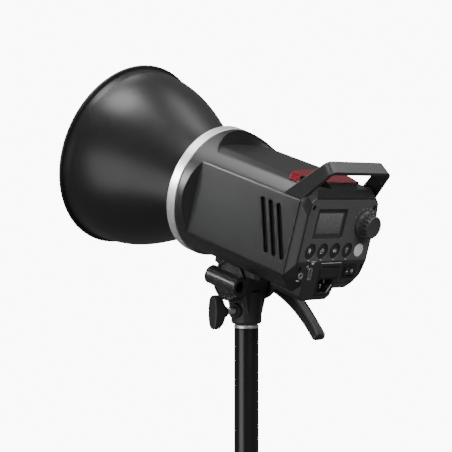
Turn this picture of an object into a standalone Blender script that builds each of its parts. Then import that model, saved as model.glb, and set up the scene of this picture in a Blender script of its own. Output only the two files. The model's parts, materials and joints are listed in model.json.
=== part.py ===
"""A monolight studio strobe: flash head, seven-inch reflector and tilting stand bracket.

World frame: +Z up, light leaves towards -Y, the control panel faces +Y. The origin is the centre
of the stand socket's mouth. The head is tilted nose-up by TILT about the bracket's pivot.
Sizes in this file are millimetres; the helpers turn them into metres.
Head parts are placed on an empty with its own axes: X across, A (local Y) rearwards along the
optical axis, U (local Z) up.
"""

import math

import bmesh
import bpy
from mathutils import Matrix, Vector

MM = 0.001
GAP = 0.3

# Driving dimensions
TILT = math.radians(17.0)
PIVOT_Z = 40.5            # tilt pivot above the socket's mouth
AXIS_RISE = 67.3          # optical axis above the tilt pivot

BODY_R = 60.8             # round body section
SIDE_X = 51.0             # side flats
TOP_U = 48.0              # top and bottom flats
WALL = 2.6
SIDE_START = -36.5        # where the side flats meet their sloping front walls
SIDE_SLOPE = 0.72
DECK_START = -47.5        # foremost point of the arched wall ahead of the top deck
DECK_ARC = 60.0
BEVEL_X = 33.0            # where the top deck breaks down towards the sides
BEVEL_NORMAL = math.radians(66.0)
NOTCH_U = 44.0            # floor of the notches beside the red window, where the handle's legs rise
NOTCH_FRONT = 62.5
WINDOW_REAR_X = 19.5
KEEL_START = -38.0
SHELL_FRONT = -51.4
SHELL_REAR = 82.0
PANEL_A = 91.2            # face of the control panel
PANEL_THICK = 2.3

RING_R = 61.2             # silver mount ring
RING_FRONT = -62.0
BAYONET_R = 45.0          # lip that holds the reflector's tabs
LATCH_X, LATCH_PIN_R = -52.9, 1.2
TAB_ANGLE = 24.0
TAB_COUNT = 3
TWIST = 28.0              # locking twist of the reflector, degrees

RIM_R = 90.0              # reflector's mouth
RIM_A = -181.9
BOWL_BASE_R = 46.0
BOWL_END_R = 85.4
BOWL_BASE_A, BOWL_END_A = -65.1, -171.5
SHEET = 1.3

VENT_WIDTH = 5.0
VENT_PITCH = 9.3
VENT_LEAN = math.radians(21.0)

BUTTON_U = -10.0
BUTTON_XS = (33.1, 16.8, 0.3, -16.8)
TEST_X = -33.1
DIAL_X, DIAL_U = -30.8, 14.2
SCREWS = ((41.3, 28.8), (-41.3, 28.8), (42.0, -25.5), (-42.0, -25.5))

EAR_IN, EAR_OUT = 17.2, 22.0      # the yoke's two ears along X
EAR_R = 19.0
ARM_X = 15.0                      # half thickness of the stand arm
ARM_R = 14.5
TUBE_X = 27.8                     # umbrella tube
TUBE_R, TUBE_BORE, TUBE_LEN = 8.75, 4.9, 38.0
SOCKET_BORE, SOCKET_DEPTH = 8.2, 28.0
LOCK_Z = 12.5

PANEL_OUTLINE = [(40.5, 37.6), (45.5, 32.5), (47.4, 21.0), (47.4, -20.0), (43.5, -32.0), (36.0, -39.0),
                 (34.5, -50.5), (31.0, -54.5), (-1.8, -54.5), (-6.6, -51.3), (-10.7, -40.2),
                 (-34.0, -40.2), (-43.0, -32.0), (-47.4, -20.0), (-47.4, 21.0), (-45.5, 32.5), (-40.5, 37.6)]
CHIN_OUTLINE = [(34.5, -40.0), (34.5, -50.5), (31.0, -54.5), (-1.8, -54.5), (-6.6, -51.3), (-10.7, -40.0)]
CHIN_FRONT = 57.0
INLET_OUTLINE = [(14.5, -24.6), (14.5, -50.3), (-2.0, -50.3), (-5.2, -47.6), (-8.4, -39.6),
                 (-11.7, -37.4), (-11.7, -24.6)]
JACK_X, JACK_U = 38.6, -31.6

for old in list(bpy.data.objects):
    bpy.data.objects.remove(old)

parts = bpy.data.collections.new("monolight_strobe")
tools = bpy.data.collections.new("cutters")
for collection in (parts, tools):
    bpy.context.scene.collection.children.link(collection)


# ---------------------------------------------------------------- helpers

def empty(name, parent, at, turn_x=0.0):
    holder = bpy.data.objects.new(name, None)
    parts.objects.link(holder)
    holder.parent = parent
    holder.location = Vector(at) * MM
    holder.rotation_euler = (turn_x, 0, 0)
    return holder


stand = empty("stand_frame", None, (0, 0, 0))
pivot = empty("tilt_axis", None, (0, 0, PIVOT_Z), -TILT)
head = empty("optical_axis", pivot, (0, 0, AXIS_RISE))


def material(name, colour, roughness, metallic=0.0, alpha=1.0):
    made = bpy.data.materials.get(name)
    if made:
        return made
    made = bpy.data.materials.new(name)
    made.use_nodes = True
    shader = made.node_tree.nodes["Principled BSDF"]
    shader.inputs["Base Color"].default_value = (*colour, 1.0)
    shader.inputs["Roughness"].default_value = roughness
    shader.inputs["Metallic"].default_value = metallic
    shader.inputs["Alpha"].default_value = alpha
    return made


BLACK_PLASTIC = ("black_plastic", (0.035, 0.035, 0.037), 0.55)
PANEL_PLASTIC = ("panel_plastic", (0.055, 0.055, 0.058), 0.6)
GLOSS_PLASTIC = ("gloss_plastic", (0.015, 0.015, 0.016), 0.25)
WHITE_PLASTIC = ("white_plastic", (0.8, 0.8, 0.8), 0.4)
RED_WINDOW = ("red_window", (0.35, 0.01, 0.02), 0.15)
DARK_GLASS = ("dark_glass", (0.06, 0.06, 0.065), 0.15)
CLEAR_GLASS = ("clear_glass", (0.9, 0.9, 0.92), 0.05)
CERAMIC = ("ceramic", (0.75, 0.73, 0.68), 0.6)
SATIN_ALUMINIUM = ("satin_aluminium", (0.75, 0.75, 0.77), 0.28, 1.0)
POWDER_COAT = ("powder_coat", (0.03, 0.03, 0.031), 0.5, 0.3)
CAST_METAL = ("cast_metal", (0.03, 0.03, 0.032), 0.45, 0.4)
STEEL = ("steel", (0.6, 0.6, 0.6), 0.3, 1.0)
BRASS = ("brass", (0.7, 0.55, 0.25), 0.3, 1.0)
BOARD_GREEN = ("circuit_board", (0.02, 0.12, 0.05), 0.5)
SLEEVE_BLUE = ("capacitor_sleeve", (0.02, 0.03, 0.12), 0.35)
FIBRE = ("fibre_washer", (0.05, 0.045, 0.04), 0.8)


def keep(mesh, name, parent, at=(0, 0, 0), finish=None, smooth=30.0):
    """A named object on its parent at a point in millimetres; without a finish it is a cutter."""
    body = bpy.data.objects.new(name, mesh)
    (parts if finish else tools).objects.link(body)
    body.parent = parent
    body.location = Vector(at) * MM
    if finish:
        mesh.materials.append(material(*finish))
        mesh.shade_smooth()
        mesh.set_sharp_from_angle(angle=math.radians(smooth))
    else:
        body.hide_render = True
        body.display_type = "WIRE"
    return body


def along(axis):
    """The turn that takes a shape's own Z to the named axis; A keeps X across and Y up."""
    if axis == "X":
        return Matrix.Rotation(math.radians(90), 4, "Y")
    if axis == "A":
        return Matrix.Rotation(math.radians(90), 4, "X")
    return Matrix.Identity(4)


def mesh_from(shape, name, axis="Z", shift=(0, 0, 0)):
    mesh = bpy.data.meshes.new(name)
    shape.transform(Matrix.Translation(Vector(shift) * MM) @ along(axis))
    shape.to_mesh(mesh)
    shape.free()
    return mesh


def box_mesh(size, shift=(0, 0, 0), bevel=0.0, segments=2):
    shape = bmesh.new()
    bmesh.ops.create_cube(shape, size=1.0)
    bmesh.ops.scale(shape, vec=Vector(size) * MM, verts=shape.verts)
    if bevel:
        bmesh.ops.bevel(shape, geom=shape.edges[:], offset=bevel * MM, segments=segments, affect="EDGES",
                        profile=0.5)
    return mesh_from(shape, "box", "Z", shift)


def rod_mesh(radius, length, axis="Z", shift=(0, 0, 0), sides=32, top_radius=None):
    shape = bmesh.new()
    bmesh.ops.create_cone(shape, cap_ends=True, segments=sides, radius1=radius * MM,
                          radius2=(radius if top_radius is None else top_radius) * MM, depth=length * MM)
    return mesh_from(shape, "rod", axis, shift)


def plate_mesh(outline, thickness, axis="Z", shift=(0, 0, 0)):
    """A flat outline, extruded evenly about its plane."""
    curve = bpy.data.curves.new("outline", "CURVE")
    curve.dimensions = "2D"
    curve.fill_mode = "BOTH"
    curve.extrude = thickness / 2 * MM
    spline = curve.splines.new("POLY")
    spline.points.add(len(outline) - 1)
    for point, (x, y) in zip(spline.points, outline):
        point.co = (x * MM, y * MM, 0, 1)
    spline.use_cyclic_u = True
    return solid_from_curve(curve, axis, shift)


def wire_mesh(points, radius, resolution=2):
    curve = bpy.data.curves.new("wire", "CURVE")
    curve.dimensions = "3D"
    curve.bevel_depth = radius * MM
    curve.bevel_resolution = resolution
    curve.use_fill_caps = True
    spline = curve.splines.new("POLY")
    spline.points.add(len(points) - 1)
    for point, place in zip(spline.points, points):
        point.co = (*(Vector(place) * MM), 1)
    return solid_from_curve(curve, "Z", (0, 0, 0))


def solid_from_curve(curve, axis, shift):
    holder = bpy.data.objects.new("curve", curve)
    bpy.context.scene.collection.objects.link(holder)
    bpy.context.view_layer.update()
    mesh = bpy.data.meshes.new_from_object(holder.evaluated_get(bpy.context.evaluated_depsgraph_get()))
    shape = bmesh.new()
    shape.from_mesh(mesh)
    bmesh.ops.remove_doubles(shape, verts=shape.verts, dist=0.000001)
    bmesh.ops.recalc_face_normals(shape, faces=shape.faces)
    bpy.data.objects.remove(holder)
    bpy.data.curves.remove(curve)
    bpy.data.meshes.remove(mesh)
    return mesh_from(shape, "plate", axis, shift)


def turned(name, profile, parent, at, steps, finish=None, axis="A"):
    """A closed profile of (radius, height) points turned about its own Z, then laid along an axis."""
    shape = bmesh.new()
    corners = [shape.verts.new((r * MM, 0, h * MM)) for r, h in profile]
    for one, two in zip(corners, corners[1:] + corners[:1]):
        shape.edges.new((one, two))
    mesh = bpy.data.meshes.new(name)
    shape.to_mesh(mesh)
    shape.free()
    body = keep(mesh, name, parent, at, finish)
    body.rotation_euler = along(axis).to_euler()
    screw = body.modifiers.new("Turn", "SCREW")
    screw.axis = "Z"
    screw.angle = math.radians(360)
    screw.steps = steps
    screw.render_steps = steps
    screw.use_merge_vertices = True
    screw.merge_threshold = 0.00001
    screw.use_smooth_shade = True
    screw.use_normal_calculate = False
    return body


def combine(target, tool, operation="DIFFERENCE"):
    change = target.modifiers.new(operation.title(), "BOOLEAN")
    change.operation = operation
    change.solver = "EXACT"
    change.object = tool
    return target


def cut(target, mesh, at=(0, 0, 0), parent=None):
    return combine(target, keep(mesh, f"{target.name}_cut", parent or target.parent, at))


def join(target, mesh, at=(0, 0, 0), parent=None):
    return combine(target, keep(mesh, f"{target.name}_add", parent or target.parent, at), "UNION")


def arc(cx, cy, radius, start, end, count):
    """Points on an arc, angles in degrees, both ends included."""
    turns = [math.radians(start + (end - start) * i / (count - 1)) for i in range(count)]
    return [(cx + radius * math.cos(t), cy + radius * math.sin(t)) for t in turns]


def rounded(width, height, radius, cx=0.0, cy=0.0, count=4):
    """A rectangle outline with round corners."""
    w, h = width / 2 - radius, height / 2 - radius
    corners = ((w, h, 0), (-w, h, 90), (-w, -h, 180), (w, -h, 270))
    return [p for x, y, a in corners for p in arc(cx + x, cy + y, radius, a, a + 90, count)]


def inset(outline, distance):
    """The same outline moved inwards along its corners' bisectors."""
    area = sum(a[0] * b[1] - b[0] * a[1] for a, b in zip(outline, outline[1:] + outline[:1]))
    side = 1.0 if area > 0 else -1.0
    moved = []
    for before, here, after in zip(outline[-1:] + outline[:-1], outline, outline[1:] + outline[:1]):
        p, q, r = Vector(before), Vector(here), Vector(after)
        d1, d2 = (q - p).normalized(), (r - q).normalized()
        n1, n2 = Vector((-d1.y, d1.x)) * side, Vector((-d2.y, d2.x)) * side
        middle = (n1 + n2).normalized()
        moved.append(tuple(q + middle * distance / max(middle.dot(n1), 0.3)))
    return moved


# ---------------------------------------------------------------- head casing

def body_form(name, grow, front, rear, finish=None):
    """The round body with its side, top and bottom flats, grown outwards by a distance."""
    length = rear - front
    form = keep(rod_mesh(BODY_R + grow, length, "A", sides=72), name, head,
                (0, (front + rear) / 2, 0), finish)
    side, top = SIDE_X + grow, TOP_U + grow
    far, end = 80.0, rear + 20.0
    for s in (1, -1):
        start = SIDE_START + grow
        wedge = [(s * side, start), (s * far, start - (far - side) * SIDE_SLOPE), (s * far, end),
                 (s * side, end)]
        cut(form, plate_mesh(wedge, 2 * far))
    deck = arc(0, DECK_START + DECK_ARC, DECK_ARC - grow, 226, 314, 13)
    deck = deck + [(far, end), (-far, end)]
    above = keep(plate_mesh(roof_outline(grow, far), 4 * far, "A"), name + "_above", head)
    combine(above, keep(plate_mesh(deck, 2 * far, "Z", (0, 0, top)), name + "_deck", head), "INTERSECT")
    combine(form, above)
    keel = [(KEEL_START + grow, -top), (KEEL_START - 12.5 + grow, -BODY_R - grow), (-60.0, -far), (end, -far),
            (end, -top)]
    cut(form, side_prism(keel, 2 * far))
    return form


def roof_outline(grow, far):
    """The space over the deck and the two strips that slope down beside it, as (X, U) points."""
    reach = BEVEL_X * math.cos(BEVEL_NORMAL) + TOP_U * math.sin(BEVEL_NORMAL) + grow
    top = TOP_U + grow
    edge = (reach - top * math.sin(BEVEL_NORMAL)) / math.cos(BEVEL_NORMAL)
    low = (reach - far * math.cos(BEVEL_NORMAL)) / math.sin(BEVEL_NORMAL)
    return [(-far, low), (-edge, top), (edge, top), (far, low), (far, 2 * far), (-far, 2 * far)]


def notch_outline(side, grow=0.0):
    """Plan of the notch beside the red window, in (X, A)."""
    run = (SHELL_REAR - NOTCH_FRONT) / (BEVEL_X - WINDOW_REAR_X)
    front = NOTCH_FRONT - 1.7 * grow
    end = SHELL_REAR + 8.0
    far = 60.0
    outline = [(BEVEL_X, front), (far, front + (far - BEVEL_X) * 0.66), (far, end),
               (BEVEL_X - (end - front) / run, end)]
    return [(side * x, a) for x, a in outline]


def side_prism(outline, width, shift=(0, 0, 0)):
    """An outline of (A, U) points extruded across X."""
    mesh = plate_mesh([(-u, a) for a, u in outline], width, "X", shift)
    return mesh


def main_shell():
    shell = body_form("main_shell", 0.0, SHELL_FRONT, SHELL_REAR, BLACK_PLASTIC)
    inside = body_form("shell_inside", -WALL, SHELL_FRONT + 3.0, SHELL_REAR + 5.0)
    combine(shell, inside)
    cut(shell, rod_mesh(41.4, 8.0, "A"), (0, SHELL_FRONT + 1.0, 0))
    floor = NOTCH_U - WALL
    for s in (1, -1):
        pad = keep(plate_mesh(notch_outline(s, WALL), TOP_U - 1.5 - floor, "Z"), "notch_pad", head,
                   (0, 0, (TOP_U - 1.5 + floor) / 2))
        combine(pad, body_form("notch_limit", -1.0, 40.0, SHELL_REAR), "INTERSECT")
        combine(shell, pad, "UNION")
        cut(shell, plate_mesh(notch_outline(s), 20.0, "Z"), (0, 0, NOTCH_U + 10.0))
        for i in range(3):
            slot = rounded(VENT_WIDTH, 48.5, 2.2, count=3)
            lean = Matrix.Rotation(VENT_LEAN, 2)
            slot = [tuple(lean @ Vector(p)) for p in slot]
            mesh = side_prism(slot, 10.0)
            cut(shell, mesh, (s * SIDE_X, 49.2 + i * VENT_PITCH, 1.1))
    cut(shell, box_mesh((28.0, 26.0, 8.0)), (1.5, 71.0, -TOP_U + 1.0))
    cut(shell, rod_mesh(LATCH_PIN_R + 0.4, 24.0, "A", sides=12), (LATCH_X, -44.0, 0))
    return shell


def loft_mesh(rings):
    """A closed solid through rings of equal point counts, each ring a list of (X, A, U)."""
    shape = bmesh.new()
    rows = [[shape.verts.new(Vector(p) * MM) for p in ring] for ring in rings]
    count = len(rows[0])
    for low, high in zip(rows, rows[1:]):
        for i in range(count):
            j = (i + 1) % count
            shape.faces.new((low[i], low[j], high[j], high[i]))
    shape.faces.new(rows[0][::-1])
    shape.faces.new(rows[-1])
    bmesh.ops.recalc_face_normals(shape, faces=shape.faces)
    return mesh_from(shape, "loft")


def body_section():
    """The body's cross-section as (X, U) points, one for each point of the rear frame's outline."""
    low_edge, side = math.degrees(math.asin(TOP_U / BODY_R)), math.degrees(math.acos(SIDE_X / BODY_R))
    reach = BEVEL_X * math.cos(BEVEL_NORMAL) + TOP_U * math.sin(BEVEL_NORMAL)
    bevel_end = math.degrees(BEVEL_NORMAL - math.acos(reach / BODY_R))
    top = [(BEVEL_X, TOP_U)] + arc(0, 0, BODY_R, bevel_end, side, 3)
    right = top + arc(0, 0, BODY_R, -side, -low_edge, 4)
    return right + [(-x, u) for x, u in reversed(right)]


def rear_section():
    """The rear frame's edge round the panel, in step with body_section."""
    right = [(40.5, 37.6), (43.2, 35.0), (45.5, 32.5), (47.4, 21.0), (47.4, -20.0), (43.5, -32.0),
             (40.0, -35.5), (34.5, -40.2)]
    return right + [(-x, u) for x, u in reversed(right)]


def rear_housing():
    start = SHELL_REAR + GAP
    rings = [[(x, start, u) for x, u in body_section()], [(x, PANEL_A, u) for x, u in rear_section()]]
    housing = keep(loft_mesh(rings), "rear_housing", head, finish=BLACK_PLASTIC)
    chin_length = PANEL_A - CHIN_FRONT
    join(housing, plate_mesh(CHIN_OUTLINE, chin_length, "A"), (0, CHIN_FRONT + chin_length / 2, 0))
    combine(housing, body_form("housing_seat", GAP, SHELL_FRONT, SHELL_REAR + 0.15))
    for s in (1, -1):
        cut(housing, plate_mesh(notch_outline(s), 20.0, "Z"), (0, 0, NOTCH_U + 10.0))
    cut(housing, plate_mesh(inset(rear_section(), 3.6), 30.0, "A"), (0, PANEL_A, 0))
    cut(housing, plate_mesh(inset(CHIN_OUTLINE, 2.4), 60.0, "A"), (0, CHIN_FRONT + 2.4 + 30.0, 0))
    cut(housing, box_mesh((40.0, 60.0, 24.0)), (11.9, CHIN_FRONT + 2.4 + 30.0, -36.0))
    cut(housing, plate_mesh(inset(INLET_OUTLINE, -GAP), 60.0, "A"), (0, CHIN_FRONT + 2.4 + 30.0, 0))
    cut(housing, rod_mesh(3.2, 30.0, "A", sides=16), (JACK_X, PANEL_A, JACK_U))
    seat = inset(PANEL_OUTLINE, 0.9)
    cut(housing, plate_mesh(seat, 2 * (PANEL_THICK + GAP), "A"), (0, PANEL_A, 0))
    for x, u in SCREWS:
        cut(housing, rod_mesh(1.7, 12.0, "A", sides=8), (x, PANEL_A - 4.0, u))
    return housing


def control_panel():
    panel = keep(plate_mesh(inset(PANEL_OUTLINE, 1.2), PANEL_THICK, "A"), "control_panel", head,
                 (0, PANEL_A - PANEL_THICK / 2, 0), PANEL_PLASTIC)
    cut(panel, plate_mesh(rounded(39.8, 26.3, 1.2), 8.0, "A"), (14.9, PANEL_A, 14.65))
    for x in BUTTON_XS:
        cut(panel, rod_mesh(6.9, 8.0, "A", sides=20), (x, PANEL_A, BUTTON_U))
    cut(panel, rod_mesh(6.5, 8.0, "A", sides=20), (TEST_X, PANEL_A, BUTTON_U))
    cut(panel, rod_mesh(3.7, 8.0, "A", sides=16), (DIAL_X, PANEL_A, DIAL_U))
    cut(panel, plate_mesh(inset(INLET_OUTLINE, -GAP), 8.0, "A"), (0, PANEL_A, 0))
    cut(panel, box_mesh((18.6, 8.0, 12.7)), (-26.0, PANEL_A, -29.3))
    cut(panel, rod_mesh(3.2, 8.0, "A", sides=20), (JACK_X, PANEL_A, JACK_U))
    cut(panel, box_mesh((5.1, 8.0, 11.1)), (26.6, PANEL_A, -30.3))
    for x, u in SCREWS:
        cut(panel, rod_mesh(2.5, 3.2, "A", sides=12), (x, PANEL_A, u))
        cut(panel, rod_mesh(1.7, 12.0, "A", sides=8), (x, PANEL_A, u))
    return panel


def panel_screws():
    for number, (x, u) in enumerate(SCREWS, 1):
        screw = keep(rod_mesh(1.4, 8.0, "A", sides=8), f"panel_screw_{number}", head,
                     (x, PANEL_A - 5.2, u), STEEL)
        join(screw, rod_mesh(2.2, 1.2, "A", sides=12), (x, PANEL_A - 0.9, u))
        cut(screw, box_mesh((2.6, 1.0, 0.7)), (x, PANEL_A - 0.3, u))


def sensor_window():
    """The red window on the deck: a bowed front edge, ends over the sloping strips, and a narrower rear."""
    band = body_form("sensor_window", 1.2, 20.0, SHELL_REAR, RED_WINDOW)
    bow_r, bow_front = 64.0, 42.0
    reach = math.degrees(math.asin(41.9 / bow_r))
    right = [(41.9, 67.9), (BEVEL_X, NOTCH_FRONT - 0.6), (WINDOW_REAR_X - 0.3, SHELL_REAR - 0.3)]
    plan = arc(0, bow_front + bow_r, bow_r, 270 - reach, 270 + reach, 13)
    plan = plan + right + [(-x, a) for x, a in reversed(right)]
    combine(band, keep(plate_mesh(plan, 40.0, "Z", (0, 0, 60.0)), "sensor_plan", head), "INTERSECT")
    combine(band, body_form("sensor_seat", GAP, 10.0, SHELL_REAR + 5.0))


def handle_line():
    """Half of the strap's outer face, foot to middle: pairs of points on its front and rear edges."""
    foot, foot_rear = Vector((SIDE_X, 62.9, 35.2)), Vector((SIDE_X, 82.5, 33.9))
    bend, bend_rear = Vector((38.3, 90.35, 70.36)), Vector((41.25, 101.2, 62.5))
    middle, middle_rear = Vector((0, *bend[1:])), Vector((0, *bend_rear[1:]))
    corner, steps = 6.0, 4
    buried = Vector((-3.0, -2.5, -5.0))
    stations = [(foot + buried, foot_rear + buried), (foot, foot_rear)]
    for i in range(steps + 1):
        t = i / steps
        pair = []
        for low, turn, over in ((foot, bend, middle), (foot_rear, bend_rear, middle_rear)):
            start = turn + (low - turn).normalized() * corner
            end = turn + (over - turn).normalized() * corner
            pair.append(start * (1 - t) ** 2 + turn * 2 * t * (1 - t) + end * t * t)
        stations.append(tuple(pair))
    return stations


def carry_handle():
    """A flat strap bent into a loop over the panel, its legs rising from the rear corners of the shell."""
    thick, ease = 3.8, 0.9
    right = handle_line()
    mirror = Matrix.Scale(-1, 3, (1, 0, 0))
    stations = right + [tuple(mirror @ p for p in pair) for pair in reversed(right)]
    rings = []
    for i, (front, rear) in enumerate(stations):
        before, after = stations[max(i - 1, 0)], stations[min(i + 1, len(stations) - 1)]
        along = (after[0] + after[1] - before[0] - before[1]).normalized()
        across = (rear - front).normalized()
        inward = along.cross(across).normalized()
        rings.append([front + across * ease, rear - across * ease, rear + inward * ease,
                      rear + inward * (thick - ease), rear - across * ease + inward * thick,
                      front + across * ease + inward * thick, front + inward * (thick - ease),
                      front + inward * ease])
    handle = keep(loft_mesh(rings), "carry_handle", head, finish=BLACK_PLASTIC)
    combine(handle, body_form("handle_seat", GAP, 20.0, 110.0))
    return handle


# ---------------------------------------------------------------- front mount and reflector

def mount_ring():
    chamfer = 0.8
    front, rear = RING_FRONT, SHELL_FRONT - GAP
    middle = (front + rear) / 2
    half = (rear - front) / 2
    profile = [(RING_R - chamfer, half), (RING_R, half - chamfer), (RING_R, -half + chamfer),
               (RING_R - chamfer, -half), (54.4, -half), (54.4, half)]
    return turned("mount_ring", profile, head, (0, middle, 0), 48, SATIN_ALUMINIUM)


def ring_sector(inner, outer, centre, width):
    """An annular sector outline, centre and width in degrees."""
    start, end = centre - width / 2, centre + width / 2
    return arc(0, 0, outer, start, end, 7) + arc(0, 0, inner, end, start, 7)


def bayonet_plate():
    front, rear = -59.0, SHELL_FRONT - GAP
    half = (rear - front) / 2
    profile = [(54.0, half), (54.0, -half), (50.0, -half), (50.0, half - 3.2), (BAYONET_R, half - 3.2),
               (BAYONET_R, half)]
    plate = turned("bayonet_plate", profile, head, (0, (front + rear) / 2, 0), 40, CAST_METAL)
    for i in range(TAB_COUNT):
        gate = ring_sector(43.0, 49.6, 90 + TWIST + 360 / TAB_COUNT * i, TAB_ANGLE + 4)
        cut(plate, plate_mesh(gate, 6.0, "A"), (0, front, 0))
    cut(plate, rod_mesh(LATCH_PIN_R + 0.4, 10.0, "A", sides=12), (LATCH_X, rear, 0))
    return plate


def reflector_flange():
    """The reflector's mounting collar: a tube with three tabs that turn behind the bayonet's lip."""
    rear, face, front = -52.2, RING_FRONT - GAP, -64.8
    middle = (rear + front) / 2
    profile = [(56.6, middle - front), (56.6, middle - face), (44.5, middle - face), (44.5, middle - rear),
               (42.0, middle - rear), (42.0, middle - front)]
    collar = turned("reflector_flange", profile, head, (0, middle, 0), 40, SATIN_ALUMINIUM)
    for i in range(TAB_COUNT):
        tab = ring_sector(43.6, 49.0, 90 + 360 / TAB_COUNT * i, TAB_ANGLE)
        join(collar, plate_mesh(tab, 2.6, "A"), (0, -53.9, 0))
    return collar


def bowl_radius(share):
    """Outer radius of the bowl from its base (0) to the start of its lip (1)."""
    return BOWL_BASE_R + (BOWL_END_R - BOWL_BASE_R) * math.sin(share * math.pi / 2) ** 1.3


def reflector():
    """A spun sheet bowl with a rolled bead round its mouth."""
    count = 7
    depth = BOWL_END_A - BOWL_BASE_A
    sheet = [(bowl_radius(i / count), BOWL_BASE_A + depth * i / count) for i in range(count + 1)]
    sheet.append((86.6, RIM_A + 3.5))
    bead = [(RIM_R - 0.5, RIM_A + 3.0), (RIM_R, RIM_A + 2.1), (RIM_R, RIM_A + 0.8), (RIM_R - 0.7, RIM_A),
            (86.2, RIM_A)]
    inner = [(r - SHEET, a) for r, a in reversed(sheet)]
    inner[-1] = (inner[-1][0], BOWL_BASE_A - SHEET)
    profile = sheet + bead + inner + [(42.4, BOWL_BASE_A - SHEET), (42.4, BOWL_BASE_A)]
    profile = [(r, RIM_A - a) for r, a in reversed(profile)]
    return turned("reflector", profile, head, (0, RIM_A, 0), 48, POWDER_COAT)


def tube_base():
    base = keep(rod_mesh(41.0, 16.0, "A", sides=48), "tube_base", head, (0, -52.0, 0), CERAMIC)
    for x in (-9.0, 9.0):
        cut(base, rod_mesh(4.4, 10.0, "A", sides=16), (x, -60.0, -29.0))
    return base


def flash_tube():
    """A ring of glass tube with two straight legs in the base's sockets."""
    ring_a, ring_r = -76.0, 30.4
    gap_angle = math.degrees(math.asin(9.0 / ring_r))
    ring = arc(0, 0, ring_r, -90 + gap_angle, 270 - gap_angle, 25)
    legs_in = [(9.0, -56.0, -29.0), (9.0, -72.5, -29.0)]
    legs_out = [(-9.0, -72.5, -29.0), (-9.0, -56.0, -29.0)]
    points = legs_in + [(x, ring_a, u) for x, u in ring] + legs_out
    return keep(wire_mesh(points, 4.0, 2), "flash_tube", head, finish=CLEAR_GLASS)


def modelling_lamp():
    dome = [(0.0, 12.0)] + [(12.5 * math.cos(t), 12.0 * math.sin(t)) for t in
                            [math.radians(a) for a in (75, 60, 45, 30, 15, 0)]]
    profile = dome + [(15.0, -0.5), (15.0, -6.0), (0.0, -6.0)]
    return turned("modelling_lamp", profile, head, (0, -66.4, 0), 24, WHITE_PLASTIC)


def led_heatsink():
    fins = []
    count, pitch = 4, 5.4
    for i in range(count):
        low = i * pitch
        fins += [(29.0, low), (29.0, low + 1.8)]
        if i < count - 1:
            fins += [(14.0, low + 1.8), (14.0, low + pitch)]
    profile = [(0.0, 0.0)] + fins + [(0.0, fins[-1][1])]
    profile = [(r, -h) for r, h in profile]
    return turned("led_heatsink", profile, head, (0, -43.6, 0), 24, SATIN_ALUMINIUM)


def release_latch():
    """The slider on the side flat, behind the mount, that frees the reflector, with its locking pin."""
    front, long, tall, deep = SIDE_START + GAP, 6.6, 15.0, 5.4
    middle = -SIDE_X - GAP - deep / 2
    latch = keep(box_mesh((deep, long, tall)), "release_latch", head, (middle, front + long / 2, 0),
                 GLOSS_PLASTIC)
    for i in range(3):
        cut(latch, box_mesh((1.6, 0.9, 20.0)), (middle - deep / 2, front + 1.6 + 1.7 * i, 0))
    return join(latch, rod_mesh(LATCH_PIN_R, 19.0, "A", sides=12), (LATCH_X, front + 0.5 - 8.5, 0))


# ---------------------------------------------------------------- controls

def display():
    keep(plate_mesh(rounded(39.2, 25.7, 1.0), 1.4, "A"), "display_window", head,
         (14.9, PANEL_A - 1.7, 14.65), DARK_GLASS)
    keep(box_mesh((38.0, 4.6, 25.0)), "display_module", head, (14.9, 85.9, 14.65), DARK_GLASS)


def control_board():
    board = keep(box_mesh((76.0, 1.6, 46.0)), "control_board", head, (0, 82.2, 8.0), BOARD_GREEN)
    for x in (*BUTTON_XS, TEST_X):
        join(board, box_mesh((6.0, 2.0, 6.0)), (x, 83.5, BUTTON_U))
    return board


def push_button(name, x, radius, face, finish):
    length = face - 85.6
    button = keep(rod_mesh(radius, length, "A", sides=20), name, head,
                  (x, 85.6 + length / 2, BUTTON_U), finish)
    return soften(button, 0.5)


def buttons():
    for name, x in zip(("power_button", "mode_button", "beep_button", "lamp_button"), BUTTON_XS):
        push_button(name, x, 6.5, PANEL_A - 0.7, GLOSS_PLASTIC)
    push_button("test_button", TEST_X, 6.1, PANEL_A + 0.4, WHITE_PLASTIC)


def select_dial():
    """A skirted knob with a fluted grip on the encoder's shaft."""
    low, skirt, grip_end = 0.6, 3.2, 12.2
    count = 14
    seat = (DIAL_X, PANEL_A, DIAL_U)
    fluted = []
    for i in range(count * 4):
        angle = 2 * math.pi * i / (count * 4)
        radius = 10.2 if i % 4 in (0, 1) else 9.5
        fluted.append((radius * math.cos(angle), radius * math.sin(angle)))
    dial = keep(rod_mesh(11.2, skirt - low, "A", (0, (skirt + low) / 2, 0), 36, 12.0), "select_dial", head,
                seat, GLOSS_PLASTIC)
    join(dial, plate_mesh(fluted, grip_end - 1.2, "A", (0, (grip_end + 1.2) / 2, 0)), seat)
    cut(dial, rod_mesh(8.2, 1.2, "A", (0, grip_end, 0), 24), seat)
    cut(dial, rod_mesh(3.3, 18.0, "A", sides=16), seat)
    keep(rod_mesh(3.0, 11.0, "A", (0, 2.7, 0), 16), "dial_shaft", head, seat, STEEL)
    encoder = keep(box_mesh((12.0, 5.2, 12.0)), "encoder", head, (DIAL_X, 85.9, DIAL_U), STEEL)
    cut(encoder, rod_mesh(3.3, 4.0, "A", sides=16), (DIAL_X, 88.0, DIAL_U))


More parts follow.
